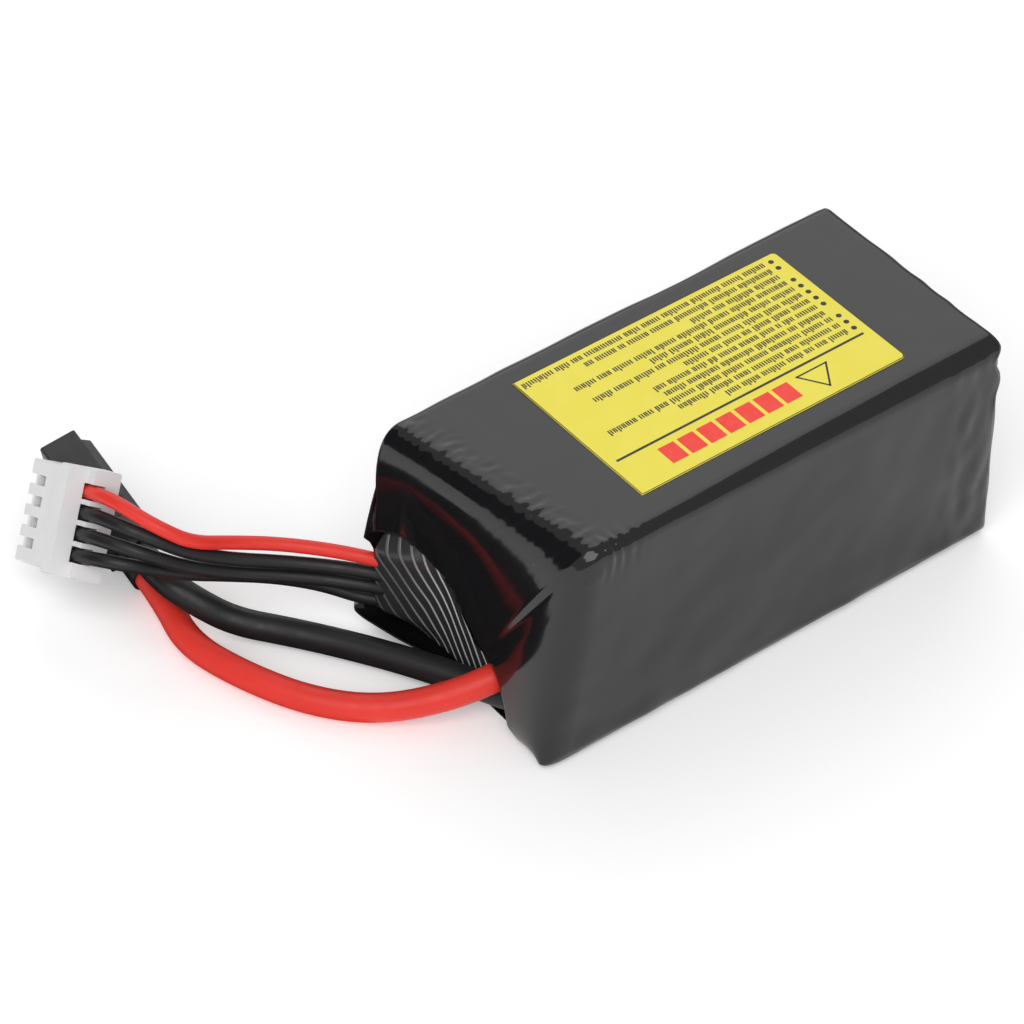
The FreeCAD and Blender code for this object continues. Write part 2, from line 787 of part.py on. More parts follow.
def make_plug_housing():
    """The black two-pole housing: a bevelled block with a lower nose, bored for its contacts."""
    body = new_body("main_plug_housing")
    block = new_sketch(body, "YZ_Plane", "plug_block", ("0", "0", "0"))
    add_rectangle(block, "size.plug_thickness", "size.plug_height")
    block_pad = pad(body, block, "size.plug_length - size.nose_length")
    bevelled = edges_along(block_pad.Shape, X_AXIS, lambda edge: edge.CenterOfMass.y < 0)
    bevel = bevel_edges(body, block_pad, bevelled, "size.plug_chamfer")
    softened = edges_along(bevel.Shape, X_AXIS, lambda edge: edge.CenterOfMass.y > 0)
    round_edges(body, bevel, softened, "size.plug_edge")
    nose_start = "size.plug_length - size.nose_length"
    nose = new_sketch(body, "YZ_Plane", "plug_nose", ("size.nose_step", "0", nose_start))
    add_rounded_rectangle(
        nose,
        "size.plug_thickness - 2 * size.nose_step",
        "size.plug_height",
        "size.plug_edge",
    )
    pad(body, nose, "size.nose_length")
    hole = new_sketch(body, "YZ_Plane", "contact_hole", ("0", "-size.contact_spacing / 2", "0"))
    add_circle(hole, "size.contact_radius")
    hole_pocket = pocket(body, hole, "size.plug_length", backwards=True)
    repeat(body, hole_pocket, "V_Axis", "size.contact_spacing", 2)
    seat(body, PLUG_POINT, PLUG_TURN)
    return keep(body, "main_plug_housing")


def make_contact(label, side):
    """A bullet socket: a tube open to the front, with a solder cup behind the housing."""
    centre = ("0", f"{side} * size.contact_spacing / 2")
    barrel = new_cylinder(
        f"{label}_barrel",
        "size.contact_radius",
        "size.plug_length - size.contact_recess + size.contact_cup_length",
        ("-size.contact_cup_length", *centre),
    )
    bore = new_cylinder(
        f"{label}_bore",
        "size.contact_bore",
        "size.contact_bore_depth",
        ("size.plug_length - size.contact_recess - size.contact_bore_depth", *centre),
    )
    cup = new_cylinder(
        f"{label}_cup",
        "size.contact_cup_radius",
        "size.contact_cup_depth",
        ("-size.contact_cup_length", *centre),
    )
    contact = cut(label, cut(f"{label}_socket", barrel, bore), cup)
    seat(contact, PLUG_POINT, PLUG_TURN)
    return keep(contact, label)


def make_lead_cores():
    """The bare tinned ends of the two leads, soldered into the contacts' cups."""
    cores = []
    for side in (-1, 1):
        cores.append(
            new_cylinder(
                f"lead_core_{len(cores) + 1}",
                "size.lead_core_radius",
                "size.contact_cup_depth",
                ("-size.contact_cup_length", "0", f"{side} * size.contact_spacing / 2"),
            )
        )
    cores = group("lead_cores", cores)
    seat(cores, PLUG_POINT, PLUG_TURN)
    return keep(cores, "lead_cores")


def make_lead_shrinks():
    """Short heat-shrink tubes over the solder cups and the ends of the leads."""
    tubes = []
    for side in (-1, 1):
        centre = ("-size.shrink_length - 0.1", "0", f"{side} * size.contact_spacing / 2")
        name = f"lead_shrink_{len(tubes) + 1}"
        outside = new_cylinder(f"{name}_outside", "size.shrink_radius", "size.shrink_length", centre)
        inside = new_cylinder(f"{name}_inside", "size.shrink_bore", "size.shrink_length", centre)
        tubes.append(cut(name, outside, inside))
    tubes = group("lead_shrinks", tubes)
    seat(tubes, PLUG_POINT, PLUG_TURN)
    return keep(tubes, "lead_shrinks")


# --- balance plug -----------------------------------------------------------------------------


def make_balance_housing():
    """The white four-way housing: a slotted skirt and a flange behind, windows and fingers in front."""
    body = new_body("balance_plug_housing")
    block = new_sketch(body, "YZ_Plane", "housing_block", ("0", "0", "0"))
    add_rectangle(block, "size.housing_width", "size.housing_thickness")
    block_pad = pad(body, block, "size.housing_length")
    long_edges = edges_along(block_pad.Shape, X_AXIS)
    round_edges(body, block_pad, long_edges, "size.housing_edge")
    flange = new_sketch(body, "YZ_Plane", "housing_flange", ("0", "size.flange_step / 2", "0"))
    add_rounded_rectangle(
        flange,
        "size.housing_width + 2 * size.flange_step",
        "size.housing_thickness + size.flange_step",
        "size.flange_step",
    )
    pad(body, flange, "size.flange_length")
    first = "-1.5 * size.row_pitch"
    row = "3 * size.row_pitch"
    skirt_z = "(size.skirt_thickness - size.housing_thickness) / 2"
    skirt = new_sketch(body, "YZ_Plane", "housing_skirt", ("0", skirt_z, "0"))
    add_rounded_rectangle(
        skirt,
        "size.housing_width + 2 * size.flange_step",
        "size.skirt_thickness",
        "size.flange_step",
    )
    pad(body, skirt, "size.skirt_length", backwards=True)
    skirt_top = "size.skirt_thickness - size.housing_thickness / 2"
    slot = new_sketch(body, "YZ_Plane", "skirt_slot", (first, skirt_top, "0"))
    add_rectangle(slot, "size.cavity_size", "2 * size.skirt_slot_depth")
    slots = pocket(body, slot, "size.skirt_length")
    repeat(body, slots, "H_Axis", row, 4)
    cavity = new_sketch(body, "YZ_Plane", "housing_cavity", (first, "0", "0"))
    add_rectangle(cavity, "size.cavity_size", "size.cavity_size")
    cavities = pocket(body, cavity, "size.housing_length", backwards=True)
    repeat(body, cavities, "H_Axis", row, 4)
    window = new_sketch(body, "XY_Plane", "housing_window", ("size.window_centre_x", first, "0"))
    add_rectangle(window, "size.window_length", "size.window_width")
    windows = pocket(body, window, "size.housing_thickness", backwards=True)
    repeat(body, windows, "V_Axis", row, 4)
    notch_x = "size.housing_length - size.finger_notch_depth / 2"
    notch = new_sketch(body, "XY_Plane", "finger_notch", (notch_x, first, "0"))
    add_rectangle(notch, "size.finger_notch_depth", "size.window_width")
    notches = pocket(body, notch, "2 * size.housing_thickness", both_ways=True)
    repeat(body, notches, "V_Axis", row, 4)
    seat(body, HOUSING_POINT, HOUSING_TURN)
    return keep(body, "balance_plug_housing")


def make_balance_terminals():
    """Four crimp terminals in the white housing, each open to the front for its pin."""
    terminals = []
    for index in range(4):
        centre_y = f"({index} - 1.5) * size.row_pitch"
        outer = new_box(
            f"crimp_{index + 1}_outside",
            ("size.crimp_length", "size.crimp_size", "size.crimp_size"),
            (
                "size.terminal_setback",
                f"{centre_y} - size.crimp_size / 2",
                "-size.crimp_size / 2",
            ),
        )
        bore = new_box(
            f"crimp_{index + 1}_bore",
            ("size.crimp_length", "size.crimp_bore", "size.crimp_bore"),
            (
                "size.terminal_setback + size.crimp_length / 3",
                f"{centre_y} - size.crimp_bore / 2",
                "-size.crimp_bore / 2",
            ),
        )
        terminals.append(cut(f"crimp_{index + 1}", outer, bore))
    terminals = group("balance_plug_terminals", terminals)
    seat(terminals, HOUSING_POINT, HOUSING_TURN)
    return keep(terminals, "balance_plug_terminals")


# --- leads and wires --------------------------------------------------------------------------


def plug_entry(point, turn, along, across, up):
    """A point given on a plug's own axes, in the pack's frame."""
    placement = FreeCAD.Placement(vector(point), FreeCAD.Rotation(*turn))
    return placement.multVec(FreeCAD.Vector(along, across, up))


def tube_path(points):
    """Straight runs joined by tangent arcs, each arc as large as its two runs allow."""
    edges = []
    radii = []
    start = points[0]
    for before, here, after in zip(points, points[1:], points[2:]):
        run_in = here - before
        run_out = after - here
        turn = run_in.getAngle(run_out)
        reach = ROUTE_BEND * min(run_in.Length, run_out.Length)
        unit_in = FreeCAD.Vector(run_in).normalize()
        unit_out = FreeCAD.Vector(run_out).normalize()
        bend_start = here - unit_in * reach
        bend_end = here + unit_out * reach
        radius = reach / math.tan(turn / 2)
        radii.append(radius)
        to_centre = (unit_out - unit_in).normalize()
        centre_distance = radius / math.cos(turn / 2)
        bend_middle = here + to_centre * (centre_distance - radius)
        edges.append(Part.LineSegment(start, bend_start).toShape())
        edges.append(Part.Arc(bend_start, bend_middle, bend_end).toShape())
        start = bend_end
    edges.append(Part.LineSegment(start, points[-1]).toShape())
    return Part.Wire(edges), radii


def make_cord(label, points, radius):
    """A plain round tube along a route, with its bend radii and length printed."""
    path, radii = tube_path(points)
    direction = (points[1] - points[0]).normalize()
    section = Part.Wire(Part.makeCircle(radius, points[0], direction))
    solid = path.makePipeShell([section], True, False)
    expected = math.pi * radius**2 * path.Length
    print(
        f"{label}: length {path.Length:.1f}, radii " + " ".join(f"{value:.1f}" for value in radii),
        f"volume {solid.Volume:.1f} of {expected:.1f}",
    )
    if abs(solid.Volume / expected - 1) > 0.02:
        raise RuntimeError(f"{label} has the wrong volume")
    feature = document.addObject("Part::Feature", label)
    feature.Shape = solid
    feature.Placement = FreeCAD.Placement()
    return keep(feature, label)


def make_main_leads():
    """The two thick silicone leads, each from the pack to its contact's solder cup."""
    for label, side in (("main_lead_red", -1), ("main_lead_black", 1)):
        height = side * size("contact_spacing") / 2
        end = -size("contact_cup_length")
        route = [vector(point) for point in LEAD_ROUTES[label]]
        route.append(plug_entry(PLUG_POINT, PLUG_TURN, end - LEAD_STRAIGHT, 0, height))
        route.append(plug_entry(PLUG_POINT, PLUG_TURN, end, 0, height))
        make_cord(label, route, size("lead_radius"))


def make_balance_wires():
    """The four thin wires, each from the board to its terminal in the white plug."""
    for index, label in enumerate(BALANCE_ROUTES):
        across = (index - 1.5) * size("row_pitch")
        end = size("terminal_setback")
        route = [vector(point) for point in BALANCE_ROUTES[label]]
        route.append(plug_entry(HOUSING_POINT, HOUSING_TURN, -WIRE_STRAIGHT, across, 0))
        route.append(plug_entry(HOUSING_POINT, HOUSING_TURN, end, across, 0))
        make_cord(label, route, size("wire_radius"))


# --- assembly ---------------------------------------------------------------------------------


def build():
    make_shrink_sleeve()
    make_top_label()
    for index, label in enumerate(("cell_lower", "cell_middle", "cell_upper")):
        make_cell(index, label)
    make_tabs("positive_tabs", 1)
    make_tabs("negative_tabs", -1)
    for index, label in enumerate(("gap_pad_lower", "gap_pad_upper")):
        make_gap_pad(index, label)
    make_cell_band()
    make_filament_strap()
    make_wire_end_pad()
    make_far_end_pad()
    make_balance_board()
    make_solder_joints()
    make_negative_terminal()
    make_plug_housing()
    make_contact("main_contact_positive", -1)
    make_contact("main_contact_negative", 1)
    make_lead_cores()
    make_lead_shrinks()
    make_balance_housing()
    make_balance_terminals()
    make_main_leads()
    make_balance_wires()


def check_and_write():
    """Write each sub-part, but only once every one of them is sound."""
    document.recompute()
    for thing in document.Objects:
        if "Invalid" in thing.State or "Error" in thing.State:
            raise RuntimeError(f"{thing.Label} failed: {thing.State}")
    for part in sub_parts:
        if part.Shape.isNull() or not part.Shape.isValid():
            raise RuntimeError(f"{part.Label} has no sound shape")
    os.makedirs("parts", exist_ok=True)
    for part in sub_parts:
        part.Shape.exportStep(f"parts/{part.Label}.step")
        box = part.Shape.BoundBox
        print(
            f"{part.Label}: {len(part.Shape.Solids)} solid(s), volume {part.Shape.Volume:.1f},",
            f"x {box.XMin:.2f} {box.XMax:.2f} y {box.YMin:.2f} {box.YMax:.2f}",
            f"z {box.ZMin:.2f} {box.ZMax:.2f}",
        )


build()
check_and_write()
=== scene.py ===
import math
import random

import bpy
from mathutils import Euler, Matrix, Vector, noise


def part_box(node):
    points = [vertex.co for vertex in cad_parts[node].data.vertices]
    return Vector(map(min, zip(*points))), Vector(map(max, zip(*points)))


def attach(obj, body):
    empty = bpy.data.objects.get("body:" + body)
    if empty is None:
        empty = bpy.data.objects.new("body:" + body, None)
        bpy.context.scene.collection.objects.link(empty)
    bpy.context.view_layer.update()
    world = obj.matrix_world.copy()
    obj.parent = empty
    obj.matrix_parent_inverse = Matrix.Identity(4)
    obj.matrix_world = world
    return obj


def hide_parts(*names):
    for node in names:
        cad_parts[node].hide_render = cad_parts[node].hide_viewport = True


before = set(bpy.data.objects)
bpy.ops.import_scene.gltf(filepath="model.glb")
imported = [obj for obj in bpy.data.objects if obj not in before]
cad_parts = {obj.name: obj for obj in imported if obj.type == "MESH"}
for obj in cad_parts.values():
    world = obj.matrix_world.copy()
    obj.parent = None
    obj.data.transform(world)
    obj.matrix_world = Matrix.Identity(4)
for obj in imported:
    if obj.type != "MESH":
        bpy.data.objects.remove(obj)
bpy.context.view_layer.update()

# The lipo battery pack, dressed: shrink film, printed sticker, silicone leads and wires, plugs.
# Points are written in millimetres in the CAD frame, and become metres where a mesh or a curve
# is made.
# +X runs from the wire end to the far end, +Z is up, and the -Y side faces the camera.

MM = 0.001
BODY = "root"


def metres(point):
    return Vector(point) * MM


def node_box(node):
    """A CAD node's lowest and highest corners, in millimetres."""
    low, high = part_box(node)
    return Vector(low) / MM, Vector(high) / MM


def mix(start, end, share):
    return start + (end - start) * share


def smooth_step(low, high, value):
    """0 below low, 1 above high, and an easy curve between them."""
    share = min(max((value - low) / (high - low), 0.0), 1.0)
    return share * share * (3.0 - 2.0 * share)


def hump(centre, half_width, value):
    """1 at the centre, falling smoothly to 0 at half_width from it."""
    return 1.0 - smooth_step(0.0, half_width, abs(value - centre))


# --- camera -----------------------------------------------------------------------------------

CAMERA_AZIMUTH = math.radians(-37.5)
CAMERA_ELEVATION = math.radians(42.6)
CAMERA_TARGET = metres((-16.4, 11.1, 12.2))
CAMERA_DISTANCE = 561.5 * MM
CAMERA_LENS = 168.0


def make_camera():
    """A long lens that looks down on the wire end and the -Y side."""
    back = Vector(
        (
            math.sin(CAMERA_AZIMUTH) * math.cos(CAMERA_ELEVATION),
            -math.cos(CAMERA_AZIMUTH) * math.cos(CAMERA_ELEVATION),
            math.sin(CAMERA_ELEVATION),
        )
    )
    data = bpy.data.cameras.new("camera")
    data.lens = CAMERA_LENS
    data.clip_start = 0.01
    camera = bpy.data.objects.new("camera", data)
    camera.location = CAMERA_TARGET + back * CAMERA_DISTANCE
    camera.rotation_euler = back.to_track_quat("Z", "Y").to_euler()
    bpy.context.scene.collection.objects.link(camera)
    bpy.context.scene.camera = camera


# --- cords ------------------------------------------------------------------------------------

LEAD_RADIUS = 1.75
WIRE_RADIUS = 0.85

# The plugs' own axes: a place, and turns about X, Y and Z. Local +X is the mating direction.
PLUG_POINT = (-51.0, 41.5, 5.1)
PLUG_TURN = (-11.9, -5.7, 84.0)
HOUSING_POINT = (-58.45, 38.3, 14.05)
HOUSING_TURN = (-58.0, 29.5, 87.0)


def own_axes(point, turn):
    angles = [math.radians(angle) for angle in turn]
    return Matrix.Translation(Vector(point)) @ Euler(angles, "XYZ").to_matrix().to_4x4()


PLUG_AXES = own_axes(PLUG_POINT, PLUG_TURN)
HOUSING_AXES = own_axes(HOUSING_POINT, HOUSING_TURN)

CUP_END = -3.0
CONTACT_HEIGHT = 2.5
LEAD_STRAIGHT = 6.0

LEAD_ROUTES = {
    "main_lead_red": [
        (-25.65, -5.0, 6.2),
        (-30.2, -5.0, 6.2),
        (-36.2, -2.2, 3.9),
        (-42.4, 2.6, 1.85),
        (-47.7, 8.6, 1.75),
        (-51.4, 16.8, 1.75),
        (-53.5, 25.2, 1.75),
        PLUG_AXES @ Vector((CUP_END - LEAD_STRAIGHT, 0, -CONTACT_HEIGHT)),
        PLUG_AXES @ Vector((CUP_END, 0, -CONTACT_HEIGHT)),
    ],
    "main_lead_black": [
        (-27.6, -12.6, 2.3),
        (-27.6, -8.6, 2.3),
        (-30.6, -1.8, 2.1),
        (-34.6, 6.2, 2.1),
        (-38.8, 13.6, 1.8),
        (-42.9, 19.6, 1.75),
        (-47.3, 24.4, 2.3),
        (-50.5, 27.8, 4.9),
        PLUG_AXES @ Vector((CUP_END - LEAD_STRAIGHT, 0, CONTACT_HEIGHT)),
        PLUG_AXES @ Vector((CUP_END, 0, CONTACT_HEIGHT)),
    ],
}
LEAD_LENGTH = {"main_lead_red": 58.8, "main_lead_black": 59.0}

WIRE_COUNT = 4
ROW_PITCH = 2.5
WIRE_STRAIGHT = 2.0
TERMINAL_SETBACK = 0.8


def housing_entry(index):
    """A balance wire's last two points, on its terminal's axis: behind the housing and in it."""
    across = (index - (WIRE_COUNT - 1) / 2) * ROW_PITCH
    return [
        HOUSING_AXES @ Vector((-WIRE_STRAIGHT, across, 0)),
        HOUSING_AXES @ Vector((TERMINAL_SETBACK, across, 0)),
    ]


BALANCE_ROUTES = {
    "balance_wire_red": [
        (-25.65, 13.2, 10.4),
        (-28.2, 13.2, 10.4),
        (-31.4, 14.2, 10.1),
        (-34.4, 16.8, 11.2),
        (-37.4, 20.2, 11.5),
        (-41.6, 23.6, 12.2),
        (-46.2, 26.0, 13.2),
        (-51.1, 26.7, 15.4),
        (-53.8, 29.1, 17.4),
        (-55.1, 31.8, 18.2),
        (-56.0, 34.8, 18.6),
        *housing_entry(0),
    ],
    "balance_wire_black_1": [
        (-25.65, 13.2, 8.15),
        (-28.2, 13.2, 8.15),
        (-31.4, 14.0, 8.0),
        (-34.6, 16.5, 9.2),
        (-37.8, 19.6, 9.5),
        (-42.2, 22.6, 10.4),
        (-46.9, 25.1, 11.6),
        (-51.3, 27.3, 13.5),
        (-54.0, 29.1, 15.4),
        (-55.9, 31.2, 16.5),
        (-57.2, 34.0, 16.7),
        *housing_entry(1),
    ],
    "balance_wire_black_2": [
        (-25.65, 13.2, 5.9),
        (-28.2, 13.2, 5.9),
        (-31.4, 13.9, 6.0),
        (-34.8, 16.2, 7.3),
        (-38.1, 19.4, 7.7),
        (-42.5, 22.3, 8.6),
        (-47.2, 24.9, 9.7),
        (-51.8, 27.0, 11.7),
        (-54.9, 28.6, 13.7),
        (-57.0, 30.5, 14.8),
        (-58.5, 33.2, 14.9),
        *housing_entry(2),
    ],
    "balance_wire_black_3": [
        (-25.65, 13.2, 3.65),
        (-28.2, 13.2, 3.65),
        (-31.3, 14.2, 4.0),
        (-34.3, 16.9, 4.4),
        (-37.5, 20.3, 5.8),
        (-41.8, 23.6, 7.0),
        (-46.6, 26.1, 8.2),
        (-51.4, 27.8, 9.8),
        (-54.8, 29.0, 11.5),
        (-57.6, 30.0, 13.0),
        (-59.6, 32.3, 13.2),
        *housing_entry(3),
    ],
}
BALANCE_LENGTH = {
    "balance_wire_red": 46.9,
    "balance_wire_black_1": 46.3,
    "balance_wire_black_2": 46.8,
    "balance_wire_black_3": 47.2,
}


def make_cord(name, route, radius, length):
    """A silicone-covered wire on one smooth curve; the length that it is given is not used."""
    data = bpy.data.curves.new(name, "CURVE")
    data.dimensions = "3D"
    data.bevel_depth = radius * MM
    data.bevel_resolution = 8
    data.use_fill_caps = True
    spline = data.splines.new("NURBS")
    spline.points.add(len(route) - 1)
    for point, place in zip(spline.points, route):
        point.co = (*metres(place), 1.0)
    spline.order_u = 3
    spline.use_endpoint_u = True
    spline.resolution_u = 16
    cord = bpy.data.objects.new(f"{name}_cord", data)
    bpy.context.scene.collection.objects.link(cord)
    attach(cord, BODY)
    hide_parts(name)
    metres(route[0])
    return cord


def make_cords():
    for name, route in LEAD_ROUTES.items():
        colour = "red" if name.endswith("red") else "black"
        cord = make_cord(name, route, LEAD_RADIUS, LEAD_LENGTH[name])
        dress(cord, silicone(colour))
    for name, route in BALANCE_ROUTES.items():
        colour = "red" if name.endswith("red") else "black"
        cord = make_cord(name, route, WIRE_RADIUS, BALANCE_LENGTH[name])
        dress(cord, silicone(colour))


# --- materials --------------------------------------------------------------------------------


def dress(piece, material):
    """Give a piece its material, in place of any that it had."""
    piece.data.materials.clear()
    piece.data.materials.append(material)


class Finish:
    """A procedural material on one Principled shader, in the object's own coordinates."""

    made = {}

    def __init__(self, name, colour, roughness, metallic=0.0):
        self.material = bpy.data.materials.new(name)
        self.material.use_nodes = True
        self.nodes = self.material.node_tree.nodes
        self.links = self.material.node_tree.links
        self.shader = self.nodes["Principled BSDF"]
        self.shader.inputs["Base Color"].default_value = (*colour, 1.0)
        self.shader.inputs["Roughness"].default_value = roughness
        self.shader.inputs["Metallic"].default_value = metallic
        self.place = self.nodes.new("ShaderNodeTexCoord")
        self.bumps = []

    def scaled_texture(self, kind, size_mm):
        """A texture node whose features have a size in millimetres."""
        mapping = self.nodes.new("ShaderNodeMapping")
        mapping.inputs["Scale"].default_value = [1.0 / (size_mm * MM)] * 3
        self.links.new(self.place.outputs["Object"], mapping.inputs["Vector"])
        texture = self.nodes.new(kind)
        texture.inputs["Scale"].default_value = 1.0
        self.links.new(mapping.outputs["Vector"], texture.inputs["Vector"])
        return texture

    def noise(self, size_mm, detail=3.0):
        texture = self.scaled_texture("ShaderNodeTexNoise", size_mm)
        texture.inputs["Detail"].default_value = detail
        return texture.outputs["Fac"]

    def spots(self, size_mm, share):
        """Sparse round specks: 1 inside a speck, 0 elsewhere."""
        cells = self.scaled_texture("ShaderNodeTexVoronoi", size_mm)
        return self.ramp(cells.outputs["Distance"], share, 1.0, share * 1.5, 0.0)

    def axes(self):
        """The place on the object, as separate X, Y and Z outputs in metres."""
        split = self.nodes.new("ShaderNodeSeparateXYZ")
        self.links.new(self.place.outputs["Object"], split.inputs["Vector"])
        return split.outputs

    def threads(self, count, wander, core, edge):
        """Fine lines where a running count is halfway between whole numbers: 1 on a line and 0
        between them, with the half-widths of a line's core and edge as shares of the spacing."""
        drift = self.maths("MULTIPLY", self.noise(9.0, 1.0), wander)
        phase = self.maths("FRACT", self.maths("ADD", count, drift))
        distance = self.maths("ABSOLUTE", self.maths("SUBTRACT", phase, 0.5))
        return self.ramp(distance, core, 1.0, edge, 0.0)

    def maths(self, operation, first, second=None):
        node = self.nodes.new("ShaderNodeMath")
        node.operation = operation
        self.links.new(first, node.inputs[0])
        if isinstance(second, (int, float)):
            node.inputs[1].default_value = second
        elif second is not None:
            self.links.new(second, node.inputs[1])
        return node.outputs[0]

    def ramp(self, value, low, low_out, high, high_out):
        node = self.nodes.new("ShaderNodeMapRange")
        node.interpolation_type = "SMOOTHSTEP"
        node.inputs["From Min"].default_value = low
        node.inputs["From Max"].default_value = high
        node.inputs["To Min"].default_value = low_out
        node.inputs["To Max"].default_value = high_out
        self.links.new(value, node.inputs["Value"])
        return node.outputs["Result"]

    def colours(self, value, first, second):
        """The base colour runs from the first colour to the second with a value."""
        node = self.nodes.new("ShaderNodeMix")
        node.data_type = "RGBA"
        node.inputs["A"].default_value = (*first, 1.0)
        node.inputs["B"].default_value = (*second, 1.0)
        self.links.new(value, node.inputs["Factor"])
        self.links.new(node.outputs["Result"], self.shader.inputs["Base Color"])

    def roughness(self, value, smooth, rough):
        self.links.new(self.ramp(value, 0.3, smooth, 0.7, rough), self.shader.inputs["Roughness"])

    def bump(self, value, depth_mm, strength=1.0):
        """Add a layer of relief on top of the layers made before."""
        node = self.nodes.new("ShaderNodeBump")
        node.inputs["Strength"].default_value = strength
        node.inputs["Distance"].default_value = depth_mm * MM
        self.links.new(value, node.inputs["Height"])
        if self.bumps:
            self.links.new(self.bumps[-1].outputs["Normal"], node.inputs["Normal"])
        self.bumps.append(node)
        self.links.new(node.outputs["Normal"], self.shader.inputs["Normal"])


def finish_once(name, make):
    """Make a material the first time that it is asked for, and share it afterwards."""
    if name not in Finish.made:
        Finish.made[name] = make(name)
    return Finish.made[name]


def silicone(colour):
    """Soft silicone insulation, slightly dusty, with a faint extrusion grain."""

    def make(name):
        dark, light = {
            "red": ((0.74, 0.030, 0.020), (0.84, 0.048, 0.032)),
            "black": ((0.010, 0.010, 0.011), (0.020, 0.020, 0.021)),
        }[colour]
        finish = Finish(name, dark, 0.42)
        finish.colours(finish.noise(6.0), dark, light)
        finish.roughness(finish.noise(1.6), 0.34, 0.5)
        finish.bump(finish.noise(0.5, 2.0), 0.02, 0.5)
        finish.shader.inputs["IOR"].default_value = 1.41
        finish.shader.inputs["Subsurface Weight"].default_value = 0.08 if colour == "red" else 0.0
        finish.shader.inputs["Subsurface Scale"].default_value = 0.6 * MM
        finish.shader.inputs["Subsurface Radius"].default_value = (1.0, 0.25, 0.15)
        return finish.material

    return finish_once(f"silicone_{colour}", make)


def film_finish(name):
    """Glossy black PVC: nearly smooth, with faint ripples, scuffs and dust."""
    finish = Finish(name, (0.008, 0.008, 0.009), 0.1)
    finish.colours(finish.spots(5.5, 0.016), (0.008, 0.008, 0.009), (0.32, 0.32, 0.30))
    finish.roughness(finish.noise(7.0, 5.0), 0.07, 0.15)
    finish.bump(finish.noise(6.0, 2.0), 0.10, 0.35)
    finish.bump(finish.noise(0.7, 3.0), 0.008, 0.5)
    finish.shader.inputs["IOR"].default_value = 1.52
    return finish.material


def label_finish(name):
    """Yellow vinyl sticker with a fine satin grain."""
    finish = Finish(name, (0.90, 0.78, 0.06), 0.42)
    finish.colours(finish.noise(14.0), (0.86, 0.74, 0.052), (0.91, 0.80, 0.07))
    finish.roughness(finish.noise(3.0), 0.36, 0.5)
    finish.bump(finish.noise(0.4, 2.0), 0.006, 0.4)
    return finish.material


def ink_finish(name, colour):
    """Printed ink, a little uneven."""
    finish = Finish(name, colour, 0.45)
    finish.colours(finish.noise(0.5), colour, [value * 1.35 + 0.004 for value in colour])
    finish.roughness(finish.noise(1.0), 0.38, 0.55)
    finish.bump(finish.noise(0.3, 1.0), 0.004, 0.3)
    return finish.material


THREAD_SPACING = 1.15
TAPE_LEAN = math.radians(33.0)
TAPE_THREADS_PER_MM = 0.72


def strapping_finish(name):
    """Clear strapping tape over a grey backing, with pale glass threads along it."""
    finish = Finish(name, (0.1, 0.1, 0.1), 0.25)
    count = finish.maths("MULTIPLY", finish.axes()["Y"], 1.0 / (THREAD_SPACING * MM))
    lines = finish.threads(count, 0.9, 0.08, 0.18)
    finish.colours(lines, (0.085, 0.088, 0.092), (0.62, 0.64, 0.66))
    finish.roughness(finish.noise(4.0), 0.16, 0.34)
    finish.bump(lines, 0.10, 0.8)
    finish.bump(finish.noise(5.0, 2.0), 0.25, 0.5)
    return finish.material


def tape_end_finish(name):
    """Strapping tape seen from outside: pale slanted threads, with painted shade towards +Y."""
    finish = Finish(name, (0.1, 0.1, 0.1), 0.2)
    place = finish.axes()
    across = finish.maths(
        "SUBTRACT",
        finish.maths("MULTIPLY", place["Y"], math.cos(TAPE_LEAN) / MM),
        finish.maths("MULTIPLY", place["Z"], math.sin(TAPE_LEAN) / MM),
    )
    count = finish.maths("MULTIPLY", across, TAPE_THREADS_PER_MM)
    lines = finish.threads(count, 0.7, 0.05, 0.16)
    # Painted shade: the threads fade darker towards +Y, where the film's mouth shades the tape.
    shade = finish.ramp(place["Y"], 3.0 * MM, 1.0, 13.0 * MM, 0.12)
    paleness = finish.maths("MULTIPLY", lines, shade)
    finish.colours(paleness, (0.03, 0.031, 0.033), (0.72, 0.74, 0.76))
    finish.roughness(finish.noise(4.0), 0.12, 0.3)
    finish.bump(lines, 0.08, 0.8)
    finish.bump(finish.noise(5.0, 2.0), 0.2, 0.5)
    return finish.material


def foam_finish(name, colour):
    finish = Finish(name, colour, 0.85)
    finish.colours(finish.noise(0.8), [value * 0.7 for value in colour], colour)
    finish.roughness(finish.noise(1.5), 0.75, 0.95)
    finish.bump(finish.noise(0.35, 4.0), 0.08, 0.7)
    return finish.material


def metal_finish(name, colour, roughness):
    finish = Finish(name, colour, roughness, metallic=1.0)
    finish.colours(finish.noise(2.0), [value * 0.82 for value in colour], colour)
    finish.roughness(finish.noise(1.2), roughness * 0.8, roughness * 1.3)
    finish.bump(finish.noise(0.25, 3.0), 0.01, 0.4)
    return finish.material


def nylon_finish(name, colour, roughness):
    """Moulded plastic: a fine spark-eroded grain and slight shade changes."""
    finish = Finish(name, colour, roughness)
    finish.colours(finish.noise(5.0), [value * 0.9 for value in colour], colour)
    finish.roughness(finish.noise(2.0), roughness * 0.85, roughness * 1.2)
    finish.bump(finish.noise(0.22, 2.0), 0.012, 0.4)
    return finish.material


def board_finish(name):
    finish = Finish(name, (0.02, 0.11, 0.045), 0.35)
    finish.colours(finish.noise(1.6, 1.0), (0.015, 0.085, 0.035), (0.03, 0.15, 0.06))
    finish.roughness(finish.noise(2.0), 0.28, 0.45)
    finish.bump(finish.noise(0.8, 1.0), 0.03, 0.5)
    return finish.material


# --- the film ---------------------------------------------------------------------------------

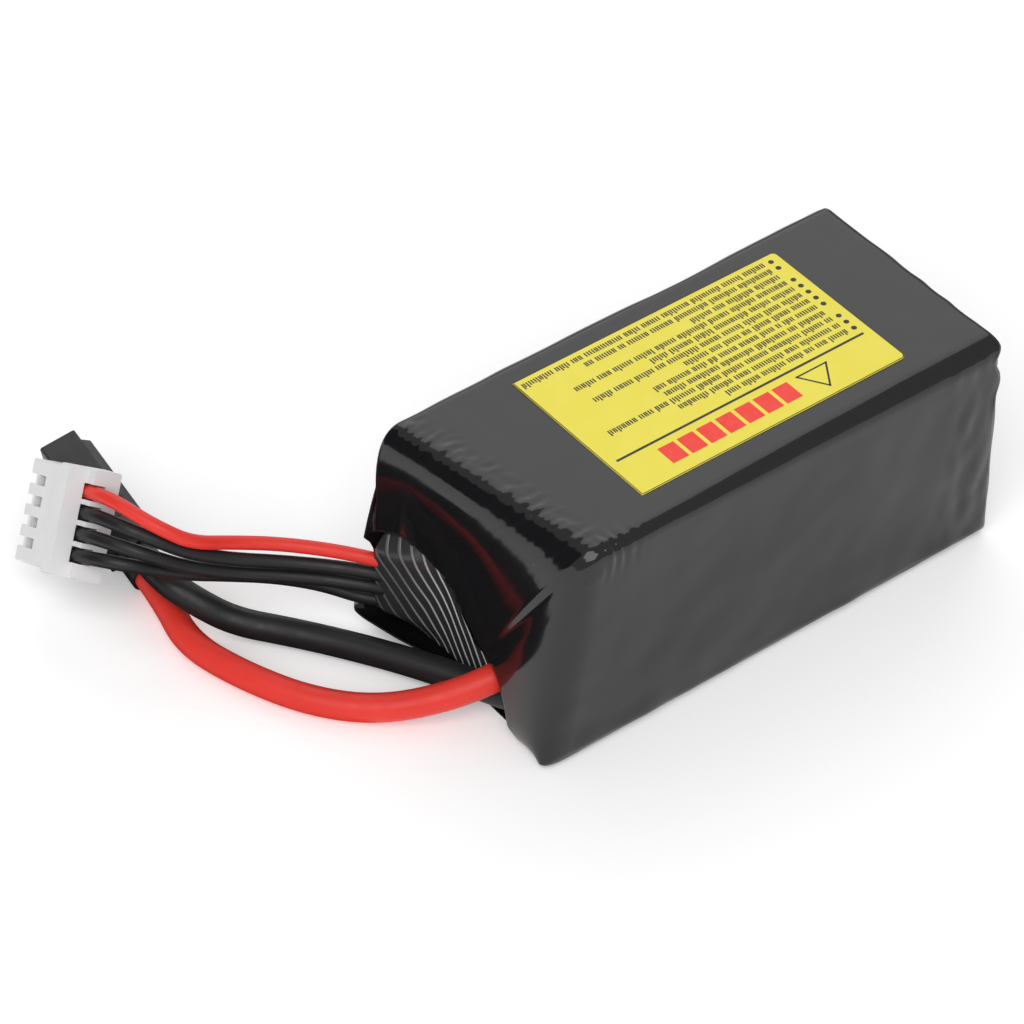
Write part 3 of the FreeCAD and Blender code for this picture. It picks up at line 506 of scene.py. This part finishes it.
_, FILM_HIGH = node_box("shrink_sleeve")
FILM_HALF_WIDTH = FILM_HIGH.y
FILM_HEIGHT = FILM_HIGH.z
FILM_FAR_X = FILM_HIGH.x
FILM_WALL = 0.22
FILM_CORNER = 1.7
FILM_SINK = 0.05
UNDERSIDE_SHIFT = 0.02
FILM_POINTS_AROUND = 420
FILM_RINGS_ALONG = 190
FILM_RINGS_WIRE_END = 60
FILM_RINGS_FAR_END = 30
RIM_SOFTNESS = 10

# Where the film's rim runs round the mouth at the wire end. Each entry has the share of the way
# round the pack's outline that the rim point is gathered from, and the point itself. The outline
# starts at the top +Y corner and runs across the top, down the -Y side, under and up again.
WIRE_RIM = [
    (0.000, (-32.4, 16.0, 14.4)),
    (0.040, (-31.3, 13.2, 15.2)),
    (0.090, (-30.8, 9.0, 15.0)),
    (0.140, (-30.6, 6.0, 14.1)),
    (0.180, (-30.5, 3.8, 12.5)),
    (0.215, (-30.5, 1.5, 9.5)),
    (0.240, (-30.7, -0.6, 8.0)),
    (0.257, (-31.0, -2.6, 8.2)),
    (0.290, (-31.7, -5.0, 8.6)),
    (0.330, (-32.1, -6.9, 7.2)),
    (0.380, (-32.2, -8.0, 4.6)),
    (0.430, (-32.2, -8.6, 1.8)),
    (0.465, (-31.9, -10.4, 0.7)),
    (0.500, (-31.2, -13.9, 0.3)),
    (0.550, (-30.5, -8.0, 0.15)),
    (0.600, (-30.3, -3.0, 0.15)),
    (0.640, (-30.4, 1.4, 1.2)),
    (0.680, (-32.4, 6.3, 1.9)),
    (0.710, (-33.6, 10.4, 1.9)),
    (0.740, (-34.8, 15.7, 2.0)),
    (0.765, (-35.1, 17.4, 2.3)),
    (0.785, (-34.5, 18.1, 3.0)),
    (0.805, (-33.6, 17.7, 3.8)),
    (0.825, (-32.5, 17.0, 5.5)),
    (0.860, (-32.3, 16.8, 8.5)),
    (0.900, (-32.5, 16.7, 11.3)),
    (0.935, (-33.2, 16.6, 13.0)),
    (0.965, (-34.2, 16.5, 14.3)),
]


def outline(top_corner, other_corner, count):
    """Evenly spaced points round the pack's section, each with its outward direction, as (y, z)
    pairs. The long top edge on the -Y side has a radius of its own."""
    corners = [
        (FILM_HALF_WIDTH, FILM_HEIGHT, other_corner, 0.0),
        (-FILM_HALF_WIDTH, FILM_HEIGHT, top_corner, 90.0),
        (-FILM_HALF_WIDTH, 0.0, other_corner, 180.0),
        (FILM_HALF_WIDTH, 0.0, other_corner, 270.0),
    ]
    path = []
    for corner_y, corner_z, radius, start in corners:
        centre_y = corner_y - math.copysign(radius, corner_y)
        centre_z = corner_z - radius if corner_z > 0 else corner_z + radius
        for step in range(13):
            angle = math.radians(start + 90.0 * step / 12)
            out = Vector((math.cos(angle), math.sin(angle)))
            path.append((Vector((centre_y, centre_z)) + out * radius, out))
    middle = 6
    path = path[middle:] + path[: middle + 1]
    lengths = [0.0]
    for (before, _), (after, _) in zip(path, path[1:]):
        lengths.append(lengths[-1] + (after - before).length)
    points = []
    stretch = 0
    for index in range(count):
        target = lengths[-1] * index / count
        while lengths[stretch + 1] < target:
            stretch += 1
        share = (target - lengths[stretch]) / (lengths[stretch + 1] - lengths[stretch])
        place = mix(path[stretch][0], path[stretch + 1][0], share)
        out = mix(path[stretch][1], path[stretch + 1][1], share).normalized()
        points.append((place, out))
    return points


def round_loop(keys, count, softness):
    """A closed line through keyed points, sampled evenly in the key and then softened."""
    keys = keys + [(keys[0][0] + 1.0, keys[0][1])]
    samples = []
    stretch = 0
    for index in range(count):
        target = index / count
        while keys[stretch + 1][0] <= target:
            stretch += 1
        share = (target - keys[stretch][0]) / (keys[stretch + 1][0] - keys[stretch][0])
        samples.append(mix(Vector(keys[stretch][1]), Vector(keys[stretch + 1][1]), share))
    for _ in range(softness):
        samples = [
            (samples[index - 1] + samples[index] * 2 + samples[(index + 1) % count]) / 4
            for index in range(count)
        ]
    return samples


def wire_end_x(place):
    """The film's edge at the wire end: it slants, and reaches less far at the near top corner."""
    top = -26.6 - 0.155 * place.x
    bottom = -28.8
    return mix(bottom, top, place.y / FILM_HEIGHT)


def far_end_x(place):
    """The film's edge at the far end, with small ears where the corners were drawn together."""
    side = smooth_step(-12.0, -16.0, place.x)
    ear = 0.5 * hump(FILM_HEIGHT - 1.0, 2.2, place.y) - 0.5 * hump(27.6, 2.0, place.y)
    ear += 0.45 * hump(24.4, 2.4, place.y)
    return FILM_FAR_X - 0.9 + side * ear


def top_edge_radius(share):
    """The near long top edge is tight at the wire end and fuller towards the far end."""
    return mix(1.6, 2.6, smooth_step(0.0, 0.8, share))


GATHER_SPACING = 1.5
GATHER_HEIGHT = 0.14


def relief(place, out):
    """How far the film stands proud of its block, in millimetres: waves, dents and gathers."""
    x, y, z = place
    top = smooth_step(0.7, 1.0, out.z)
    side = smooth_step(0.7, 1.0, -out.y)
    # Slow waves and small dents all over, weaker on the top, which is drawn tight.
    wave = noise.noise(place / 13.0) * mix(0.22, 0.05, top)
    dimple = noise.noise(place / 4.5 + Vector((7, 3, 1))) * mix(0.08, 0.02, top)
    # Short gathers across the near long top edge, towards the wire end.
    near_edge = hump(FILM_HEIGHT - 1.0, 4.5, z) * smooth_step(-12.5, -15.5, y)
    near_end = smooth_step(-17.0, -24.0, x)
    tooth = math.sin(x * 2 * math.pi / GATHER_SPACING + 3.0 * noise.noise(place / 2.5))
    teeth = near_edge * near_end * GATHER_HEIGHT * tooth
    # Ripples on the top where the film turns down at the wire end.
    band = top * smooth_step(-23.5, -26.5, x + 0.135 * y)
    ripple = band * 0.16 * noise.noise(Vector((x / 1.6, y / 0.8, 0)))
    # Beads on the side at the far end, and creases along the foot of the side.
    far_side = side * smooth_step(24.0, 31.0, x)
    bead = far_side * 0.22 * noise.noise(Vector((x / 2.2, 4, z / 4.0)))
    base = side * hump(1.5, 4.0, z) * 0.18 * noise.noise(Vector((x / 5.0, 9, z / 5.0)))
    return wave + dimple + teeth + ripple + bead + base


# How far the film runs on before it turns in over the wire end: under, at the side, on the top.
TURN_UNDER = 2.2
TURN_SIDE = 5.0
TURN_TOP = 4.2


def wire_end_rings(edge, outs, rim):
    """Rings that carry the film from the block's edge over the end to the rim of the mouth."""
    rings = []
    for ring in range(1, FILM_RINGS_WIRE_END + 1):
        share = ring / FILM_RINGS_WIRE_END
        points = []
        for start, out, end in zip(edge, outs, rim):
            over_top = smooth_step(0.3, 0.9, out.z)
            over_side = smooth_step(0.3, 0.9, -out.y)
            handle = mix(TURN_UNDER, TURN_SIDE, over_side)
            handle = mix(handle, TURN_TOP, over_top)
            first = start + Vector((-handle, 0, 0))
            lean = mix(0.45, 0.62, over_top)
            second = mix(end, start + Vector((-handle * 1.1, 0, 0)), lean)
            second.x = mix(second.x, min(second.x, end.x - 0.2), over_top)
            points.append(bezier(start, first, second, end, share))
        rings.append(points)
    return rings


def bezier(start, first, second, end, share):
    """A point on the curve that leaves start towards first and reaches end from second."""
    rest = 1.0 - share
    return (
        start * rest**3
        + first * (3 * rest * rest * share)
        + second * (3 * rest * share * share)
        + end * share**3
    )


FAR_OVAL = (9.4, 7.4)
FAR_GATHERS = 17
FAR_GATHER_DEPTH = 0.16


def far_end_rings(edge):
    """Rings that draw the film over the far end to an oval opening, in shallow gathers."""
    rings = []
    centre = Vector((FILM_FAR_X - 0.35, 0, FILM_HEIGHT / 2))
    for ring in range(1, FILM_RINGS_FAR_END + 1):
        share = ring / FILM_RINGS_FAR_END
        points = []
        for start in edge:
            angle = math.atan2(start.z - centre.z, start.y)
            wobble = 1.0 + 0.05 * noise.noise(Vector((math.cos(angle), math.sin(angle), 3)) * 2.0)
            oval = Vector((0, math.cos(angle) * FAR_OVAL[0], math.sin(angle) * FAR_OVAL[1]))
            end = centre + oval * wobble
            first = start + Vector((0.9, 0, 0))
            second = mix(end, start, 0.75)
            second.x = FILM_FAR_X
            place = bezier(start, first, second, end, share)
            gather = math.sin(angle * FAR_GATHERS + 2.5 * math.sin(angle * 3))
            place.x += FAR_GATHER_DEPTH * (gather * math.sin(math.pi * share) - 1.0)
            points.append(place)
        rings.append(points)
    return rings


def grid_mesh(name, rings, closed=True):
    """A mesh of quads between rings with the same number of points."""
    points = [point for ring in rings for point in ring]
    return mesh_piece(name, points, grid_faces(len(rings), len(rings[0]), closed))


def grid_faces(ring_count, count, closed=True):
    """The quads between neighbouring rings, as lists of point numbers."""
    faces = []
    for ring in range(ring_count - 1):
        for index in range(count if closed else count - 1):
            after = (index + 1) % count
            base = ring * count
            faces.append((base + index, base + after, base + count + after, base + count + index))
    return faces


def mesh_piece(name, points, faces):
    """A smooth-shaded object made from points in millimetres."""
    data = bpy.data.meshes.new(name)
    data.from_pydata([metres(point) for point in points], [], faces)
    data.update()
    for face in data.polygons:
        face.use_smooth = True
    piece = bpy.data.objects.new(name, data)
    bpy.context.scene.collection.objects.link(piece)
    return piece


def thicken(piece, wall_mm):
    """Give a skin a wall that grows inwards."""
    wall = piece.modifiers.new("wall", "SOLIDIFY")
    wall.thickness = wall_mm * MM
    wall.offset = -1.0


def make_film():
    """The shrink film, as one skin from the mouth at the wire end to the oval at the far end."""
    body_rings = []
    for ring in range(FILM_RINGS_ALONG + 1):
        share = ring / FILM_RINGS_ALONG
        section = outline(top_edge_radius(share), FILM_CORNER, FILM_POINTS_AROUND)
        outs = [Vector((0, out.x, out.y)) for _, out in section]
        fade = smooth_step(1.0, 0.985, share)
        points = []
        for (place, _), out in zip(section, outs):
            x = mix(wire_end_x(place), far_end_x(place), share)
            flat_place = Vector((x, place.x, place.y))
            shift = UNDERSIDE_SHIFT if out.z < -0.5 else relief(flat_place, out)
            points.append(flat_place + out * (shift * fade - FILM_SINK))
        body_rings.append(points)
    rim = round_loop(WIRE_RIM, FILM_POINTS_AROUND, RIM_SOFTNESS)
    wire_rings = wire_end_rings(body_rings[0], outs, rim)
    far_rings = far_end_rings(body_rings[-1])
    film = grid_mesh("shrink_film", wire_rings[::-1] + body_rings + far_rings)
    thicken(film, FILM_WALL)
    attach(film, BODY)
    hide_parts("shrink_sleeve")
    dress(film, finish_once("film", film_finish))


# --- the label --------------------------------------------------------------------------------

LABEL_LOW, LABEL_HIGH = node_box("top_label")
LABEL_MIDDLE = (LABEL_LOW + LABEL_HIGH) / 2
LABEL_SIZE = LABEL_HIGH - LABEL_LOW
LABEL_TOP = LABEL_HIGH.z - 0.02
LABEL_CORNER = 0.7
LABEL_INNER_CORNER = 0.2
# The sticker's edge, as distances in from its outline and down from its top.
LABEL_EDGE = [(0.0, -0.30), (0.0, -0.05), (0.04, -0.01), (0.2, 0.0), (1.2, 0.0)]
PRINT_HEIGHT = 0.012


def label_outline(inset, corner):
    """The sticker's outline at a distance inside its edge, with its two far corners round."""
    half_x = LABEL_SIZE.x / 2 - inset
    half_y = LABEL_SIZE.y / 2 - inset
    points = [(-half_x, -half_y)]
    for turn, corner_y in ((0, -half_y + corner), (1, half_y - corner)):
        for step in range(9):
            angle = math.radians(-90 + 90 * turn + 90 * step / 8)
            points.append(
                (half_x - corner + corner * math.cos(angle), corner_y + corner * math.sin(angle))
            )
    points.append((-half_x, half_y))
    return [(LABEL_MIDDLE.x + x, LABEL_MIDDLE.y + y) for x, y in points]


def make_label():
    """A thin sticker whose edge is rolled down to the film."""
    points = []
    for inset, drop in LABEL_EDGE:
        corner = max(LABEL_CORNER - inset, LABEL_INNER_CORNER)
        points += [Vector((x, y, LABEL_TOP + drop)) for x, y in label_outline(inset, corner)]
    count = len(points) // len(LABEL_EDGE)
    middle = tuple(range(len(points) - count, len(points)))
    label = mesh_piece("label_sticker", points, grid_faces(len(LABEL_EDGE), count) + [middle])
    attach(label, BODY)
    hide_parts("top_label")
    dress(label, finish_once("label", label_finish))


class Print:
    """A layer of ink on the sticker, gathered as flat polygons."""

    def __init__(self):
        self.points = []
        self.faces = []

    def polygon(self, corners):
        start = len(self.points)
        self.points += [Vector((x, y, LABEL_TOP + PRINT_HEIGHT)) for x, y in corners]
        self.faces.append(tuple(range(start, start + len(corners))))

    def bar(self, x, y, width, height):
        """A block with its low corner at x, y."""
        self.polygon([(x, y), (x + width, y), (x + width, y + height), (x, y + height)])

    def dot(self, x, y, radius):
        turns = [math.radians(30 * step) for step in range(12)]
        self.polygon([(x + radius * math.cos(turn), y + radius * math.sin(turn)) for turn in turns])

    def ring(self, outer, inner):
        """A closed line between two outlines with the same number of points."""
        for index in range(len(outer)):
            self.polygon([outer[index - 1], outer[index], inner[index], inner[index - 1]])

    def stroke(self, start, end, width):
        along = (Vector(end) - Vector(start)).normalized()
        across = Vector((-along.y, along.x)) * width / 2
        start = Vector(start) - along * width / 2
        end = Vector(end) + along * width / 2
        self.polygon([start + across, start - across, end - across, end + across])

    def piece(self, name, colour):
        layer = mesh_piece(name, self.points, self.faces)
        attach(layer, BODY)
        dress(layer, finish_once(name, lambda label: ink_finish(label, colour)))


LINE_PITCH = 1.375
LINE_START_X = 21.3
LINE_FIRST_Y = -3.45
LINE_LENGTHS = [16.8, 23.8, 31.5, 22.6, 23.0, 16.9, 30.8, 20.2, 30.0, 11.2, 28.2, 35.0]
BULLET_LINES = (0, 1, 2, 4, 5, 6, 7, 8, 10, 11)
BULLET_GAP = 1.05
BULLET_RISE = 0.5
BULLET_RADIUS = 0.36
STROKE = 0.19
SMALL_LETTER = 0.76
TALL_LETTER = 1.02
LETTER_GAP = 0.16
WORD_GAP = 0.34

RULE_CORNER = (-14.1, -5.52)
RULE_LENGTH = 36.7
RULE_HEIGHT = 0.35
TRIANGLE = [(11.35, -6.65), (15.75, -6.65), (13.55, -10.05)]
TRIANGLE_STROKE = 0.24
BORDER_OUTSIDE = 0.02
BORDER_INSIDE = 0.13

HEADING_BLOCKS = 7
HEADING_CORNER = (-9.2, -9.55)
HEADING_PITCH = 2.8
HEADING_BLOCK_WIDTH = 2.3
HEADING_BLOCK_HEIGHT = 3.0


def print_line(ink, dice, y, length):
    """A line of blind print: runs of upright strokes, some as tall as capital letters."""
    x = LINE_START_X
    while x > LINE_START_X - length:
        letters = dice.choice((2, 3, 4, 5, 5, 6, 7, 8))
        for _ in range(letters):
            width = dice.choice((STROKE, 0.46, 0.5, 0.56))
            height = dice.choice((SMALL_LETTER, SMALL_LETTER, SMALL_LETTER, TALL_LETTER))
            x -= width
            ink.bar(x, y - height, STROKE, height)
            if width > STROKE:
                ink.bar(x + width - STROKE, y - SMALL_LETTER, STROKE, SMALL_LETTER)
            x -= LETTER_GAP
        x -= WORD_GAP


def make_print():
    """Generic print: red heading blocks, an empty triangle, a rule and lines of blind text."""
    dice = random.Random(7)
    black = Print()
    for index, length in enumerate(LINE_LENGTHS):
        y = LINE_FIRST_Y + LINE_PITCH * index
        print_line(black, dice, y, length)
        if index in BULLET_LINES:
            black.dot(LINE_START_X + BULLET_GAP, y - BULLET_RISE, BULLET_RADIUS)
    black.bar(*RULE_CORNER, RULE_LENGTH, RULE_HEIGHT)
    for start, end in zip(TRIANGLE, TRIANGLE[1:] + TRIANGLE[:1]):
        black.stroke(start, end, TRIANGLE_STROKE)
    # A thin black line round the sticker's edge, on the black layer.
    border_width = BORDER_INSIDE - BORDER_OUTSIDE
    black.ring(
        label_outline(BORDER_OUTSIDE, LABEL_CORNER),
        label_outline(BORDER_INSIDE, LABEL_CORNER - border_width),
    )
    black.piece("label_print_black", (0.012, 0.012, 0.012))
    red = Print()
    left, foot = HEADING_CORNER
    for index in range(HEADING_BLOCKS):
        red.bar(left + HEADING_PITCH * index, foot, HEADING_BLOCK_WIDTH, HEADING_BLOCK_HEIGHT)
    red.piece("label_print_red", (0.80, 0.035, 0.02))


# --- strapping tape ---------------------------------------------------------------------------

TAPE_LOW = Vector((0, -5.0, 1.0))
TAPE_HIGH = Vector((0, 15.3, 17.0))
TAPE_X = node_box("filament_strap")[0].x - 0.2
TAPE_BULGE = 4.0
TAPE_STEPS = 60
TAPE_WALL = 0.12


def make_tape():
    """The strapping tape in the mouth: flat on the pad, and drawn out over the wires at +Y."""
    rings = []
    for row in range(TAPE_STEPS + 1):
        z = mix(TAPE_LOW.z, TAPE_HIGH.z, row / TAPE_STEPS)
        ring = []
        for column in range(TAPE_STEPS + 1):
            y = mix(TAPE_LOW.y, TAPE_HIGH.y, column / TAPE_STEPS)
            out = smooth_step(5.0, 17.5, y) * smooth_step(0.0, 4.0, z) * smooth_step(17.5, 12.0, z)
            wave = 0.12 * noise.noise(Vector((y / 3.0, z / 6.0, 2)))
            ring.append(Vector((TAPE_X - TAPE_BULGE * out - abs(wave), y, z)))
        rings.append(ring)
    tape = grid_mesh("strapping_tape_end", rings, closed=False)
    thicken(tape, TAPE_WALL)
    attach(tape, BODY)
    dress(tape, finish_once("tape_end", tape_end_finish))


STRAP_LOW, STRAP_HIGH = node_box("filament_strap")
STRAP_CORNER = 5.0
STRAP_SLACK = 0.4


def rounded_box(low, high, radius, steps):
    """Points round a rectangle with round corners, as pairs, from its high corner onwards."""
    centres = [
        (high[0] - radius, high[1] - radius, 0),
        (low[0] + radius, high[1] - radius, 90),
        (low[0] + radius, low[1] + radius, 180),
        (high[0] - radius, low[1] + radius, 270),
    ]
    points = []
    for first, second, start in centres:
        for step in range(steps + 1):
            angle = math.radians(start + 90 * step / steps)
            points.append((first + radius * math.cos(angle), second + radius * math.sin(angle)))
    return points


def make_strap():
    """The strapping tape round the pack lengthwise, with soft corners inside the film."""
    low = (STRAP_LOW.x + STRAP_SLACK, STRAP_LOW.z)
    path = rounded_box(low, (STRAP_HIGH.x, STRAP_HIGH.z), STRAP_CORNER, 8)
    lines = [mix(STRAP_LOW.y, STRAP_HIGH.y, step / 4) for step in range(5)]
    loops = [[Vector((x, y, z)) for x, z in path] for y in lines]
    strap = grid_mesh("strapping_tape_band", loops)
    thicken(strap, TAPE_WALL)
    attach(strap, BODY)
    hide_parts("filament_strap")
    dress(strap, finish_once("strapping", strapping_finish))


PAD_LOW, PAD_HIGH = node_box("wire_end_pad")
PAD_ROUND = 4.6
PAD_CLEAR = 3.0
PAD_SLACK = 0.5
PAD_BASE = 12.5
PAD_CORNER = 2.0
PAD_MIDDLE_HEIGHT = 20.0


def make_pad():
    """The insulating pad behind the film, its outer edges pressed round by the shrunk film."""
    depth = PAD_HIGH.x - PAD_LOW.x
    rings = []
    for step in range(9):
        angle = math.radians(90 * step / 8)
        inset = PAD_ROUND * (1.0 - math.cos(angle)) + PAD_SLACK
        x = PAD_HIGH.x - depth * math.sin(angle)
        rings.append(pad_section(x, inset))
    middle = Vector((PAD_LOW.x, 0, PAD_MIDDLE_HEIGHT))
    rings.append([mix(point, middle, 0.999) for point in rings[-1]])
    pad = grid_mesh("wire_end_cushion", rings)
    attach(pad, BODY)
    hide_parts("wire_end_pad")
    dress(pad, finish_once("fibre_pad", pad_finish))


def pad_section(x, inset):
    """The pad's outline across the pack, above the leads and the wires."""
    low = (PAD_LOW.y + PAD_CLEAR + inset, PAD_BASE)
    high = (PAD_HIGH.y - inset, PAD_HIGH.z - PAD_CLEAR - inset)
    return [Vector((x, y, z)) for y, z in rounded_box(low, high, PAD_CORNER, 6)]


def pad_finish(name):
    return foam_finish(name, (0.02, 0.02, 0.021))


# --- inside -----------------------------------------------------------------------------------


# Each finish has a name, a colour and a roughness, and the CAD nodes that it goes on.
METALS = [
    ("pouch_foil", (0.62, 0.63, 0.65), 0.3, ["cell_lower", "cell_middle", "cell_upper"]),
    ("aluminium", (0.8, 0.8, 0.82), 0.3, ["positive_tabs"]),
    ("nickel", (0.62, 0.6, 0.56), 0.35, ["negative_tabs"]),
    ("solder", (0.7, 0.7, 0.71), 0.25, ["solder_joints"]),
    ("copper", (0.8, 0.42, 0.25), 0.3, ["negative_terminal"]),
    ("gold", (0.86, 0.62, 0.22), 0.22, ["main_contact_positive", "main_contact_negative"]),
    ("tinned", (0.68, 0.67, 0.65), 0.35, ["lead_cores"]),
    ("tin", (0.74, 0.74, 0.74), 0.3, ["balance_plug_terminals"]),
]
PLASTICS = [
    ("band", (0.62, 0.36, 0.06), 0.3, ["cell_band"]),
    ("shrink", (0.012, 0.012, 0.012), 0.4, ["lead_shrinks"]),
    ("black_nylon", (0.035, 0.035, 0.036), 0.5, ["main_plug_housing"]),
    ("white_nylon", (0.80, 0.79, 0.80), 0.38, ["balance_plug_housing"]),
]
FOAM_COLOUR = (0.8, 0.8, 0.77)


def repaint(node, material):
    """Give a CAD piece a material in place of its own."""
    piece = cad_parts[node]
    for place in piece.material_slots:
        place.material = material
    if not piece.material_slots:
        piece.data.materials.append(material)


def make_inside():
    """Finishes for the pieces that the film hides, and for those that show in its mouth."""
    for make, looks in ((metal_finish, METALS), (nylon_finish, PLASTICS)):
        for name, colour, roughness, nodes in looks:
            material = make(name, colour, roughness)
            for node in nodes:
                repaint(node, material)
    foam = foam_finish("foam_tape", FOAM_COLOUR)
    repaint("gap_pad_lower", foam)
    repaint("gap_pad_upper", foam)
    repaint("far_end_pad", finish_once("fibre_pad", pad_finish))
    repaint("balance_board", board_finish("board"))


# --- studio -----------------------------------------------------------------------------------


FLOOR_DROP = 0.02
FLOOR_HALF_SIZE = 3.0
FLOOR_GLOW = 0.24
SKY_STRENGTH = 0.45
LAMP_SIZE = 0.8
LAMPS = {"key": ((-0.5, -0.45, 0.75), 5.4), "soft_box": ((0.40, 0.53, 0.61), 2.1)}


def stage_plane(name, corners, colour):
    """A flat stage piece with plain rough paint."""
    data = bpy.data.meshes.new(name)
    data.from_pydata(corners, [], [tuple(range(len(corners)))])
    plane = bpy.data.objects.new(name, data)
    bpy.context.scene.collection.objects.link(plane)
    finish = Finish(name, colour, 0.9)
    data.materials.append(finish.material)
    return plane, finish.shader


def make_floor():
    """A pale seamless floor just under the pack, lifted to white by a little light of its own."""
    size = FLOOR_HALF_SIZE
    z = -FLOOR_DROP * MM
    corners = [(-size, -size, z), (size, -size, z), (size, size, z), (-size, size, z)]
    _, shader = stage_plane("floor", corners, (0.92, 0.92, 0.92))
    shader.inputs["Emission Color"].default_value = (1.0, 1.0, 1.0, 1.0)
    shader.inputs["Emission Strength"].default_value = FLOOR_GLOW


def make_dark_cards():
    """Black cards that show only in gloss: one beside the wire end, one standing behind it."""
    low = [metres(point) for point in ((-29, 2, 0), (-29, 48, 0), (-75, 48, 0), (-75, 2, 0))]
    tall = [(-0.52, 0.02, 0.0), (-0.12, 0.5, 0.0), (-0.12, 0.5, 0.42), (-0.52, 0.02, 0.42)]
    for name, corners in (("low_card", low), ("tall_card", tall)):
        card, _ = stage_plane(name, corners, (0.004, 0.004, 0.004))
        card.visible_camera = False
        card.visible_diffuse = False
        card.visible_shadow = False
        card.visible_transmission = False


def make_light(name, place, power):
    """A soft square lamp that points at the pack."""
    data = bpy.data.lights.new(name, "AREA")
    data.size = LAMP_SIZE
    data.energy = power
    lamp = bpy.data.objects.new(name, data)
    lamp.location = place
    lamp.rotation_euler = Vector(place).to_track_quat("Z", "Y").to_euler()
    bpy.context.scene.collection.objects.link(lamp)


def make_studio():
    make_floor()
    make_dark_cards()
    world = bpy.data.worlds.new("studio")
    world.use_nodes = True
    sky = world.node_tree.nodes["Background"]
    sky.inputs["Color"].default_value = (1.0, 1.0, 1.0, 1.0)
    sky.inputs["Strength"].default_value = SKY_STRENGTH
    bpy.context.scene.world = world
    for name, (place, power) in LAMPS.items():
        make_light(name, place, power)
    bpy.context.scene.view_settings.view_transform = "Standard"


# --- make it ----------------------------------------------------------------------------------

make_camera()
make_cords()
make_film()
make_tape()
make_strap()
make_pad()
make_label()
make_print()
make_inside()
make_studio()
